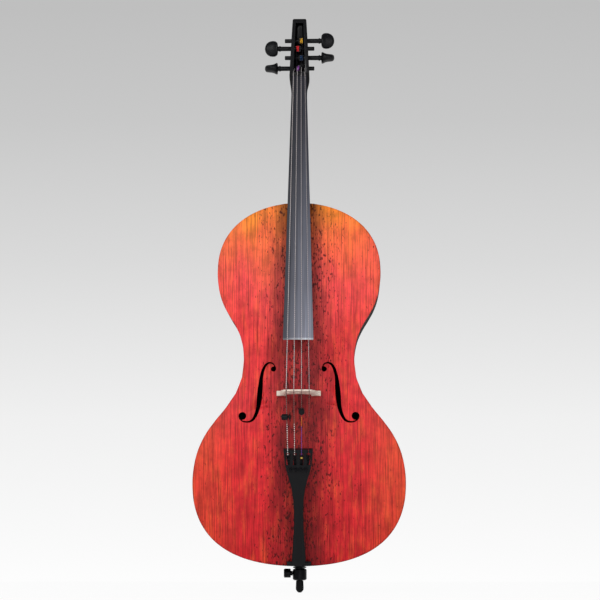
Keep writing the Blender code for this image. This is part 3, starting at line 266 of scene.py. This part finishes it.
def board_material():
    """Ebony-like composite, sanded lengthwise: satin, with a painted reflection that leaves it darker
    on the bass side and paler towards its lower end, and a painted highlight along its end's chamfer."""
    made, tree, shader = new_material("sanded_board")
    place = add(tree, "ShaderNodeSeparateXYZ", {0: add(tree, "ShaderNodeTexCoord").outputs["Object"]})
    low = add(tree, "ShaderNodeMapRange", {0: place.outputs["Z"], 1: NUT_LOW, 2: BOARD_LOW}).outputs[0]
    # Painted reflection along the board: dark by the nut, paler towards the lower end, with a painted
    # highlight on the end's chamfer
    shade = add(tree, "ShaderNodeValToRGB", {0: low}, stops=[
        (0.0, "#2A2A30"), (0.35, "#41424A"), (0.8, "#666873"), (0.994, "#80828E"), (0.997, "#C4C7CE"),
    ]).outputs[0]
    streak = add(tree, "ShaderNodeTexNoise", {"Vector": stretched(tree, (3.2 * MM, 50 * MM, 400 * MM)),
                                              "Scale": 1.0, "Detail": 3.0, "Roughness": 0.6}).outputs[0]
    lines = add(tree, "ShaderNodeValToRGB", {0: streak}, stops=[(0.32, 0.55), (0.6, 1.1)]).outputs[0]
    shade = add(tree, "ShaderNodeMix", {0: 0.8, 6: shade, 7: lines},
                data_type="RGBA", blend_type="MULTIPLY").outputs[2]
    # Painted reflection across the board: darker on the bass side, paler on the treble side
    side = add(tree, "ShaderNodeMapRange", {0: place.outputs["X"], 1: -26 * MM, 2: 12 * MM,
                                            3: 0.35, 4: 1.25}).outputs[0]
    shade = add(tree, "ShaderNodeMix", {0: 1.0, 6: shade, 7: side},
                data_type="RGBA", blend_type="MULTIPLY").outputs[2]
    tree.links.new(shade, shader.inputs["Base Color"])
    rough = add(tree, "ShaderNodeMapRange", {0: streak, 3: 0.42, 4: 0.6}).outputs[0]
    tree.links.new(rough, shader.inputs["Roughness"])
    return made


def plain_material(name, dark, light, grit, rough, metallic=0.0, depth=0.0):
    """A finish with fine unevenness: two shades mixed by a noise of a real grit size, and its bump."""
    made, tree, shader = new_material(name)
    noise = add(tree, "ShaderNodeTexNoise", {"Vector": stretched(tree, grit), "Scale": 1.0, "Detail": 4.0,
                                             "Roughness": 0.6}).outputs[0]
    shade = add(tree, "ShaderNodeValToRGB", {0: noise}, stops=[(0.35, dark), (0.65, light)]).outputs[0]
    tree.links.new(shade, shader.inputs["Base Color"])
    gloss = add(tree, "ShaderNodeMapRange", {0: noise, 3: rough * 0.85, 4: rough * 1.15}).outputs[0]
    tree.links.new(gloss, shader.inputs["Roughness"])
    if depth:
        bump = add(tree, "ShaderNodeBump", {"Height": noise, "Distance": depth, "Strength": 0.6}).outputs[0]
        tree.links.new(bump, shader.inputs["Normal"])
    shader.inputs["Metallic"].default_value = metallic
    return made


# Silk at the tail end of each string: (up to this height, main thread, second thread)
TAIL_SILK = {
    "c": ((0.338, "#E8E2DC", "#3A2A30"),),
    "g": ((0.338, "#E8E2DC", "#4A2A30"),),
    "d": ((0.334, "#4A46A8", "#7C3A70"), (0.354, "#E08A2A", "#C05A20")),
    "a": ((0.354, "#8E1E26", "#5A1218"),),
}
PEG_SILK = {"c": "#A04CB8", "g": "#F0141C", "d": "#E4AC24", "a": "#12487C"}
RAMP_HEIGHT = 1.25  # the height that a string's colour ramps reach


def string_material(string):
    """Flat-wound steel with silk at both ends, its threads laid in a slow spiral."""
    made, tree, shader = new_material(f"wound_string_{string}")
    place = add(tree, "ShaderNodeSeparateXYZ", {0: add(tree, "ShaderNodeTexCoord").outputs["Object"]})
    up = add(tree, "ShaderNodeMath", {0: place.outputs["Z"], 1: RAMP_HEIGHT}, operation="DIVIDE").outputs[0]
    steel = (("#7A605C", "#5E4844"), ("#B5AEAE", "#9A9393"))  # behind the bridge, and above it
    shades = []
    for number in (0, 1):
        stops, start = [], 0.0
        for top, *threads in TAIL_SILK[string]:
            stops.append((start, threads[number]))
            start = top / RAMP_HEIGHT
        stops += [(start, steel[0][number]), (BRIDGE_Z / RAMP_HEIGHT, steel[1][number])]
        stops.append((SILK_ABOVE / RAMP_HEIGHT, STRING_DARK))
        ramp = add(tree, "ShaderNodeValToRGB", {0: up}, stops=stops)
        ramp.color_ramp.interpolation = "CONSTANT"
        shades.append(ramp.outputs[0])
    lay = add(tree, "ShaderNodeTexWave", {"Vector": stretched(tree, (4.4 * MM,) * 3), "Scale": 0.32},
              wave_type="BANDS", bands_direction="Z").outputs[1]
    turns = add(tree, "ShaderNodeValToRGB", {0: lay}, stops=[(0.45, 0.0), (0.55, 1.0)]).outputs[0]
    shade = add(tree, "ShaderNodeMix", {0: turns, 6: shades[0], 7: shades[1]}, data_type="RGBA").outputs[2]
    tree.links.new(shade, shader.inputs["Base Color"])
    metal = add(tree, "ShaderNodeValToRGB", {0: up}, stops=[
        (0.0, 0.0), (TAIL_SILK[string][-1][0] / RAMP_HEIGHT, 0.7), (SILK_ABOVE / RAMP_HEIGHT, 0.0),
    ])
    metal.color_ramp.interpolation = "CONSTANT"
    tree.links.new(metal.outputs[0], shader.inputs["Metallic"])
    rough = add(tree, "ShaderNodeMapRange", {0: lay, 3: 0.38, 4: 0.5}).outputs[0]
    tree.links.new(rough, shader.inputs["Roughness"])
    return made


def silk_material(string):
    """The string's end on its peg: dark by the middle of the peg, silk-wrapped on its outer turns."""
    made, tree, shader = new_material(f"silk_{string}")
    place = add(tree, "ShaderNodeSeparateXYZ", {0: add(tree, "ShaderNodeTexCoord").outputs["Object"]})
    # Distance out from the middle of the peg, in centimetres
    out = add(tree, "ShaderNodeMath", {0: place.outputs["X"], 1: STRINGS[string][4] / (10 * MM)},
              operation="MULTIPLY").outputs[0]
    shade = add(tree, "ShaderNodeValToRGB", {0: out},
                stops=[(0.08, STRING_DARK), (0.12, PEG_SILK[string])]).outputs[0]
    threads = add(tree, "ShaderNodeTexNoise", {"Vector": stretched(tree, (0.4 * MM,) * 3),
                                               "Scale": 1.0}).outputs[0]
    tree.links.new(shade, shader.inputs["Base Color"])
    bump = add(tree, "ShaderNodeBump", {"Height": threads, "Distance": 0.05 * MM,
                                        "Strength": 0.6}).outputs[0]
    tree.links.new(bump, shader.inputs["Normal"])
    shader.inputs["Roughness"].default_value = 0.6
    shader.inputs["Sheen Weight"].default_value = 0.3
    return made


def make_materials(finish):
    """Every finish, under the record's slot names."""
    made = {
        "red_varnish": varnish_material(finish),
        "gloss_carbon": carbon_material(),
        "satin_board": board_material(),
        # Moulded composite: satin black, slightly pebbled
        "black_moulding": plain_material("moulded_composite", "#08080A", "#0E0F12", (1.4 * MM,) * 3, 0.42,
                                         depth=0.04 * MM),
        # Blackened steel: dark, with a dull metallic glint
        "black_steel": plain_material("blackened_steel", "#0B0B0D", "#16171A", (2.0 * MM,) * 3, 0.34,
                                      metallic=0.6),
        # Brass, turned on a lathe: bright yellow, marked in fine rings
        "brass": plain_material("turned_brass", "#A8812F", "#D0AC5A", (1.0 * MM, 4.0 * MM, 4.0 * MM), 0.3,
                                metallic=1.0),
        # Moulded rubber: matt and grainy
        "rubber": plain_material("moulded_rubber", "#070708", "#101012", (0.9 * MM,) * 3, 0.75,
                                 depth=0.06 * MM),
        # Split maple, scraped clean: pale, with short medullary flecks
        "maple": plain_material("scraped_maple", "#CFB9A6", "#F0E4D8", (5.0 * MM, 2.0 * MM, 1.2 * MM), 0.5,
                                depth=0.03 * MM),
        # Bare spruce: pale yellow, the grain running from plate to plate as in the sound post
        "spruce": plain_material("bare_spruce", "#B98F56", "#DFC08C", (1.6 * MM, 30.0 * MM, 1.6 * MM), 0.6),
        # Nylon: black, smooth, with a soft shine
        "nylon_cord": plain_material("nylon_cord", "#08080A", "#131316", (1.2 * MM,) * 3, 0.5),
    }
    for string in COURSES:
        made[f"silk_{string}"] = silk_material(string)
        made[f"string_{string}"] = string_material(string)
    return made


MATERIALS = {}
SLOTS = {row["node"]: row["material_slot"] for row in frame["record"]["subparts"]}
BODY_OF = {node: body for body, nodes in frame["record"]["behaviour"]["bodies"].items() for node in nodes}


def link(name, data, nodes, finish=None):
    """Puts a finished piece in the scene, riding on its node's body and standing for its nodes."""
    obj = bpy.data.objects.new(name, data)
    bpy.context.scene.collection.objects.link(obj)
    slot = SLOTS[nodes[0]]
    data.materials.append(MATERIALS[finish or slot])
    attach(obj, BODY_OF[nodes[0]])
    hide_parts(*nodes)
    return obj


WALL_TILT = 0.3  # a face whose normal has less than this along Y is part of a wall
WALL_STEP = 18 * MM  # the shortest straight step of a wall that is divided
WALL_RISE = 0.02  # such a step runs round the body: along Y it changes by less than this share
SMOOTH_TURN = 0.9  # cosine of the sharpest turn that still counts as one curve


def fair_walls(bm, cuts):
    """Divides the long straight steps of the walls, and moves the new points out to the curve through the
    old ones."""
    bm.normal_update()
    walls = [face for face in bm.faces if abs(face.normal.y) < WALL_TILT]
    bmesh.ops.join_triangles(bm, faces=walls, angle_face_threshold=math.radians(20),
                             angle_shape_threshold=math.radians(60))
    steps = [edge for edge in bm.edges if edge.calc_length() > WALL_STEP
             and abs(edge.verts[0].co.y - edge.verts[1].co.y) < WALL_RISE * edge.calc_length()
             and any(abs(face.normal.y) < WALL_TILT for face in edge.link_faces)]
    known = set(steps)
    moves = []
    for edge in steps:
        ends = []
        for here, there in (edge.verts, reversed(edge.verts)):
            run = (there.co - here.co).normalized()
            next_along = [other.other_vert(here).co for other in here.link_edges
                          if other is not edge and other in known]
            turns = [((here.co - spot).normalized().dot(run), spot) for spot in next_along]
            turn, beyond = max(turns, key=lambda pair: pair[0], default=(0, here.co))
            ends.append((beyond if turn > SMOOTH_TURN else here.co).copy())
        one, two = (vert.co.copy() for vert in edge.verts)
        before, after = ends
        # Each new point lies on the cubic whose slope at either end follows that end's neighbours
        for cut in range(1, cuts + 1):
            t = cut / (cuts + 1)
            spot = one * 2 + (two - before) * t + (before * 2 - one * 5 + two * 4 - after) * t**2
            moves.append((one.lerp(two, t), (spot + (one * 3 - before - two * 3 + after) * t**3) / 2))
    bmesh.ops.subdivide_edges(bm, edges=steps, cuts=cuts, use_grid_fill=True)
    bm.verts.ensure_lookup_table()
    finder = KDTree(len(bm.verts))
    for vert in bm.verts:
        finder.insert(vert.co, vert.index)
    finder.balance()
    for straight, spot in moves:
        bm.verts[finder.find(straight)[1]].co = spot


def refine(node, round_by, angle=35.0, finish=None, cuts=0):
    """The node's own shape with merged points, flat faces made whole, and rounded edges."""
    bm = bmesh.new()
    bm.from_mesh(frame["nodes"][node].data)
    bmesh.ops.remove_doubles(bm, verts=bm.verts, dist=0.01 * MM)
    if cuts:
        fair_walls(bm, cuts)
    else:
        bmesh.ops.dissolve_limit(bm, angle_limit=math.radians(0.8), verts=bm.verts, edges=bm.edges)
    data = bpy.data.meshes.new(f"fine_{node}")
    bm.to_mesh(data)
    bm.free()
    data.shade_smooth()
    obj = link(f"fine_{node}", data, [node], finish)
    data.set_sharp_from_angle(angle=math.radians(angle))
    if round_by:
        bevel = obj.modifiers.new("rounded", "BEVEL")
        bevel.width = round_by
        bevel.segments = 2
        bevel.limit_method = "ANGLE"
        bevel.angle_limit = math.radians(angle)
        bevel.harden_normals = True
        bevel.use_clamp_overlap = True
    return obj


def tube(name, points, radius, nodes, finish=None):
    """A round cord through points, smooth and with closed ends."""
    data = bpy.data.curves.new(name, "CURVE")
    data.dimensions = "3D"
    data.bevel_depth = radius
    data.bevel_resolution = bpy.context.scene.cello_finish.cord_sides
    data.use_fill_caps = True
    spline = data.splines.new("POLY")
    spline.points.add(len(points) - 1)
    for spot, point in zip(spline.points, points):
        spot.co = (*point, 1)
    spline.use_smooth = True
    return link(name, data, nodes, finish)


def sag(x):
    """How far the strings' arc lies back from its middle, at a distance across."""
    return ARC_RADIUS - math.sqrt(ARC_RADIUS**2 - x**2)


def string_route(string):
    """The string's points over the nut, the bridge and into the tailpiece."""
    place, size = STRINGS[string][:2]
    nut_x, bridge_x = place * NUT_PITCH, place * BRIDGE_PITCH
    nut_y = NUT_Y + sag(nut_x)
    return [
        Vector((nut_x, nut_y + NUT_DROP, NUT_HIGH + size / 2 + LIE)),
        Vector((nut_x, nut_y, NUT_LOW + MM)),
        Vector((bridge_x, BRIDGE_Y + sag(bridge_x), BRIDGE_Z)),
        Vector((place * TAIL_PITCH, TAIL_SLOT.y, TAIL_SLOT.z)),
    ]


def shaft_radius(reach):
    """A peg's taper, at a distance from the middle of the neck towards its head."""
    return between(PEG_TIP_R, PEG_HEAD_R, (reach + PEG_TIP_AT) / (PEG_TIP_AT + PEG_SHOULDER_AT))


def coil_of(string):
    """The coil's centre line on its peg, from the middle of the peg out to where the string leaves."""
    size, turns, height, side = STRINGS[string][1:]
    axis = Vector((side * PEG_EXIT_X, PEG_Y, height))
    radius = shaft_radius(PEG_EXIT_X) + LIE + size / 2
    nut = string_route(string)[0]
    flat = Vector((0, nut.y - axis.y, nut.z - axis.z))
    lean = math.asin(radius / flat.length)
    # Of the two tangents to the nut, the one that leaves the coil on its front
    along = next(
        way for way in (Matrix.Rotation(turn, 3, "X") @ flat.normalized() for turn in (-lean, lean))
        if way.cross(Vector((1, 0, 0))).y <= 0
    )
    out = along.cross(Vector((1, 0, 0)))
    steps = 24
    points = []
    for i in range(round(turns * steps) + 1):
        back = turns - i / steps
        turn = 2 * math.pi * back
        arm = out * math.cos(turn) - along * math.sin(turn)
        points.append(axis + radius * arm - Vector((side * (size + COIL_GAP) * back, 0, 0)))
    return points


# Where the backdrop stands, half the width of the papers, and the height at which they are darkest
BACKDROP_Y, PAPER_HALF, PAPER_TOP = 1.5, 12, 1.62
# Each lamp's name, place, width and power, and the point that all are turned to
LAMPS = (("key", (-1.5, -3.1, 2.2), 1.5, 62), ("fill", (1.3, -3.4, 1.5), 1.6, 34),
         ("low", (0.0, -3.4, 0.25), 1.2, 12))
LAMP_AIM = Vector((0, 0, 0.6))
# Low and slightly to the right, through a long lens, as the photograph was taken
CAMERA_PLACE, CAMERA_AIM = Vector((0.1117, -4.549, 0.091)), Vector((0.0025, -0.080, 0.6029))
CAMERA_LENS = 130.19  # millimetres, for the usual 36 mm sensor


class CELLO_OT_stage(bpy.types.Operator):
    """Floor, backdrop, lamps and the camera at the photograph's angle"""
    bl_idname = "cello.stage"
    bl_label = "Stage"

    def execute(self, context):
        scene = context.scene
        scene.view_settings.view_transform = "Standard"
        for name, place, turn in (("floor", (0, 0, 0), 0), ("backdrop", (0, BACKDROP_Y, 0), math.pi / 2)):
            bm = bmesh.new()
            bmesh.ops.create_grid(bm, x_segments=1, y_segments=1, size=PAPER_HALF)
            bmesh.ops.rotate(bm, verts=bm.verts, matrix=Matrix.Rotation(turn, 3, "X"))
            bmesh.ops.translate(bm, verts=bm.verts, vec=place)
            data = bpy.data.meshes.new(name)
            bm.to_mesh(data)
            bm.free()
            obj = bpy.data.objects.new(name, data)
            scene.collection.objects.link(obj)
            data.materials.append(self.paper(name))
        for name, place, size, power in LAMPS:
            lamp = bpy.data.lights.new(name, "AREA")
            lamp.size = size
            lamp.energy = power
            obj = bpy.data.objects.new(name, lamp)
            obj.location = place
            obj.rotation_euler = (Vector(place) - LAMP_AIM).to_track_quat("Z", "Y").to_euler()
            scene.collection.objects.link(obj)
        world = bpy.data.worlds.new("studio")
        world.use_nodes = True
        world.node_tree.nodes["Background"].inputs[0].default_value = colour("#E6E8EC")
        world.node_tree.nodes["Background"].inputs[1].default_value = 0.3
        scene.world = world

        lens = bpy.data.cameras.new("camera")
        lens.lens, lens.sensor_width, lens.clip_end = CAMERA_LENS, 36.0, 60.0
        camera = bpy.data.objects.new("camera", lens)
        camera.location = CAMERA_PLACE
        camera.rotation_euler = (CAMERA_AIM - CAMERA_PLACE).to_track_quat("-Z", "Y").to_euler()
        scene.collection.objects.link(camera)
        scene.camera = camera
        return {"FINISHED"}

    def paper(self, name):
        """Studio paper that shows the photograph's grey-to-white fall and still takes a soft shadow."""
        made, tree, shader = new_material(f"{name}_paper")
        place = add(tree, "ShaderNodeSeparateXYZ", {0: add(tree, "ShaderNodeTexCoord").outputs["Object"]})
        up = add(tree, "ShaderNodeMapRange", {0: place.outputs["Z"], 1: 0.0, 2: PAPER_TOP}).outputs[0]
        shade = add(tree, "ShaderNodeValToRGB", {0: up}, stops=[
            (0.0, "#FDFDFD"), (0.28, "#F0F0F0"), (0.55, "#DADADA"), (0.8, "#C8C8C8"), (1.0, "#BFBFBF"),
        ]).outputs[0]
        glow = add(tree, "ShaderNodeEmission", {0: shade, 1: 1.0}).outputs[0]
        shader.inputs["Base Color"].default_value = colour("#F4F4F4")
        shader.inputs["Roughness"].default_value = 0.9
        rays = add(tree, "ShaderNodeLightPath")
        seen = add(tree, "ShaderNodeMath", {0: rays.outputs["Is Camera Ray"],
                                            1: rays.outputs["Is Glossy Ray"]}, operation="ADD").outputs[0]
        seen = add(tree, "ShaderNodeMath", {0: seen, 1: rays.outputs["Is Transmission Ray"]},
                   operation="ADD", use_clamp=True).outputs[0]
        # The floor keeps a little of its own shading, for the shadow
        glowing = 0.97 if name == "floor" else 1.0
        seen = add(tree, "ShaderNodeMath", {0: seen, 1: glowing}, operation="MULTIPLY").outputs[0]
        mixed = add(tree, "ShaderNodeMixShader", {0: seen, 1: shader.outputs[0], 2: glow}).outputs[0]
        # The paper's back is left clear, so that the cello can be looked at from behind
        clear = add(tree, "ShaderNodeBsdfTransparent").outputs[0]
        back = add(tree, "ShaderNodeNewGeometry").outputs["Backfacing"]
        mixed = add(tree, "ShaderNodeMixShader", {0: back, 1: mixed, 2: clear}).outputs[0]
        tree.links.new(mixed, tree.nodes["Material Output"].inputs[0])
        return made


class CELLO_OT_body(bpy.types.Operator):
    """Top plate, carbon shell, and the bars, blocks and post inside"""
    bl_idname = "cello.body"
    bl_label = "Body"

    def execute(self, context):
        refine("top_plate", 0, angle=40, cuts=4)
        refine("back_shell", 0, angle=40, cuts=4)
        for node in ("upper_block", "lower_block", "bass_bar", "sound_post"):
            refine(node, 0)
        return {"FINISHED"}


class CELLO_OT_neck(bpy.types.Operator):
    """Neck with its flat head, fingerboard, nut and saddle"""
    bl_idname = "cello.neck"
    bl_label = "Neck and board"

    def execute(self, context):
        edge = context.scene.cello_finish.edge_round
        refine("neck", edge, angle=45)
        refine("fingerboard", edge / 2, angle=50)
        # The nut and the saddle look moulded, duller and darker than the sanded board
        refine("nut", edge / 2, finish="black_moulding")
        refine("saddle", edge, finish="black_moulding")
        return {"FINISHED"}


# Sections of a peg's head in millimetres: distance from the neck's middle, half width and half thickness
PEG_HEAD = ((46.2, 6.2, 6.2), (46.5, 9.4, 9.6), (47.2, 12.2, 12.0), (49.2, 14.8, 12.2), (51.5, 16.3, 10.9),
            (54.5, 17.0, 9.3), (58.5, 17.1, 8.1), (62.5, 16.4, 7.6), (66.0, 14.9, 7.4), (69.0, 12.6, 7.2),
            (71.4, 9.6, 6.4), (73.0, 6.2, 4.6), (73.8, 2.9, 2.3), (74.0, 0.8, 0.7))
# Sections of its shaft: distance in millimetres, and share of the taper's radius, with a ring by the head
PEG_SHAFT = ((-31.5, 0.75), (-31.2, 0.9), (-30.5, 1.0), (40.4, 1.0), (40.7, 1.18), (41.2, 1.24),
             (42.8, 1.24), (43.3, 1.18), (43.6, 1.0), (45.9, 1.02))
# Whether the head is turned with its wide face to the front
FACE_ON = {"c": False, "g": True, "d": True, "a": False}


class CELLO_OT_pegs(bpy.types.Operator):
    """Friction pegs with oval heads and the strings wound on them"""
    bl_idname = "cello.pegs"
    bl_label = "Pegs"

    def execute(self, context):
        for string in COURSES:
            size, _, height, side = STRINGS[string][1:]
            sections = []
            for reach, share in PEG_SHAFT:
                radius = shaft_radius(reach * MM) * share
                sections.append((reach * MM, radius, radius))
            sections += [(reach * MM, wide * MM, thick * MM) for reach, wide, thick in PEG_HEAD]
            bm = bmesh.new()
            ring = bmesh.ops.create_circle(bm, segments=40, radius=1.0, cap_ends=True)["verts"]
            place = Matrix.Translation((0, PEG_Y, height))
            for number, (reach, wide, thick) in enumerate(sections):
                if number:
                    edges = dict.fromkeys(edge for vert in ring for edge in vert.link_edges
                                          if all(v in ring for v in edge.verts))
                    made = bmesh.ops.extrude_edge_only(bm, edges=list(edges))["geom"]
                    ring = [part for part in made if isinstance(part, bmesh.types.BMVert)]
                    for vert in ring:
                        vert.co = self.on_circle(vert.co, *last)
                across, deep = (thick, wide) if FACE_ON[string] else (wide, thick)
                for vert in ring:
                    spot = vert.co.copy()
                    vert.co = place @ Vector((side * reach, spot.x * across, spot.y * deep))
                last = (place, side * reach, across, deep)
            bmesh.ops.holes_fill(bm, edges=[edge for edge in bm.edges if edge.is_boundary])
            bmesh.ops.recalc_face_normals(bm, faces=bm.faces)
            data = bpy.data.meshes.new(f"fine_peg_{string}")
            bm.to_mesh(data)
            bm.free()
            data.shade_smooth()
            data.set_sharp_from_angle(angle=math.radians(38))
            link(f"fine_peg_{string}", data, [f"peg_{string}"], "black_moulding")
            tube(f"coil_{string}", coil_of(string), size / 2, [f"winding_{string}"])
        return {"FINISHED"}

    def on_circle(self, spot, place, reach, across, deep):
        """Back from the last section's oval to the unit circle."""
        flat = place.inverted() @ spot
        return Vector((flat.y / across, flat.z / deep, 0))


class CELLO_OT_strings(bpy.types.Operator):
    """Four wound strings, from their pegs to the tailpiece"""
    bl_idname = "cello.strings"
    bl_label = "Strings"

    def execute(self, context):
        for string in COURSES:
            size = STRINGS[string][1]
            coil_end = coil_of(string)[-1]
            route = [coil_end, *string_route(string)]
            fine = []
            for one, two in zip(route, route[1:]):
                steps = max(1, round((two - one).length / STRING_STEP))
                fine += [one.lerp(two, step / steps) for step in range(steps)]
            fine.append(route[-1])
            node = f"string_{string}"
            tube(f"fine_{node}", fine, size / 2, [node], node)
        return {"FINISHED"}


class CELLO_OT_bridge(bpy.types.Operator):
    """Maple bridge and the two wolf eliminators behind it"""
    bl_idname = "cello.bridge"
    bl_label = "Bridge"

    def execute(self, context):
        edge = context.scene.cello_finish.edge_round
        refine("bridge", edge / 2, angle=40)
        for string in "cd":
            refine(f"wolf_barrel_{string}", edge / 3)
            refine(f"wolf_screw_{string}", edge / 3)
        return {"FINISHED"}


class CELLO_OT_tailpiece(bpy.types.Operator):
    """Moulded tailpiece, its four fine tuners and the tail cord"""
    bl_idname = "cello.tailpiece"
    bl_label = "Tailpiece"

    def execute(self, context):
        edge = context.scene.cello_finish.edge_round
        refine("tailpiece", edge, angle=40)
        refine("tuner_pin", 0)
        for string in COURSES:
            refine(f"tuner_lever_{string}", edge / 3)
            refine(f"tuner_screw_{string}", edge / 3)
            # Only the D string's ball end is left in bare brass
            refine(f"ball_end_{string}", edge / 3, finish=None if string == "d" else "black_steel")
        refine("tail_cord", 0, angle=70)
        return {"FINISHED"}


class CELLO_OT_endpin(bpy.types.Operator):
    """Endpin socket with its collar, thumb screw, rod and rubber tip"""
    bl_idname = "cello.endpin"
    bl_label = "Endpin"

    def execute(self, context):
        edge = context.scene.cello_finish.edge_round
        for node in ("endpin_socket", "thumb_screw", "endpin_tip", "endpin_rod"):
            refine(node, edge / 2)
        return {"FINISHED"}


PIECES = (CELLO_OT_stage, CELLO_OT_body, CELLO_OT_neck, CELLO_OT_pegs, CELLO_OT_strings, CELLO_OT_bridge,
          CELLO_OT_tailpiece, CELLO_OT_endpin)


class CELLO_PT_finish(bpy.types.Panel):
    """Lists the finish's settings and the pieces that can be made"""
    bl_idname = "CELLO_PT_finish"
    bl_label = "Carbon Cello"
    bl_space_type = "VIEW_3D"
    bl_region_type = "UI"
    bl_category = "Cello"

    def draw(self, context):
        finish = context.scene.cello_finish
        for key in ("varnish", "amber", "soot_and_shade", "grain_step", "edge_round", "cord_sides"):
            self.layout.prop(finish, key)
        for piece in PIECES:
            self.layout.operator(piece.bl_idname)


CLASSES = (CelloFinish, *PIECES, CELLO_PT_finish)


def register():
    for made in CLASSES:
        bpy.utils.register_class(made)
    bpy.types.Scene.cello_finish = PointerProperty(type=CelloFinish)


def unregister():
    del bpy.types.Scene.cello_finish
    for made in reversed(CLASSES):
        bpy.utils.unregister_class(made)


def main():
    register()
    MATERIALS.update(make_materials(bpy.context.scene.cello_finish))
    for piece in PIECES:
        group, name = piece.bl_idname.split(".")
        getattr(getattr(bpy.ops, group), name)()


if __name__ == "__main__":
    main()
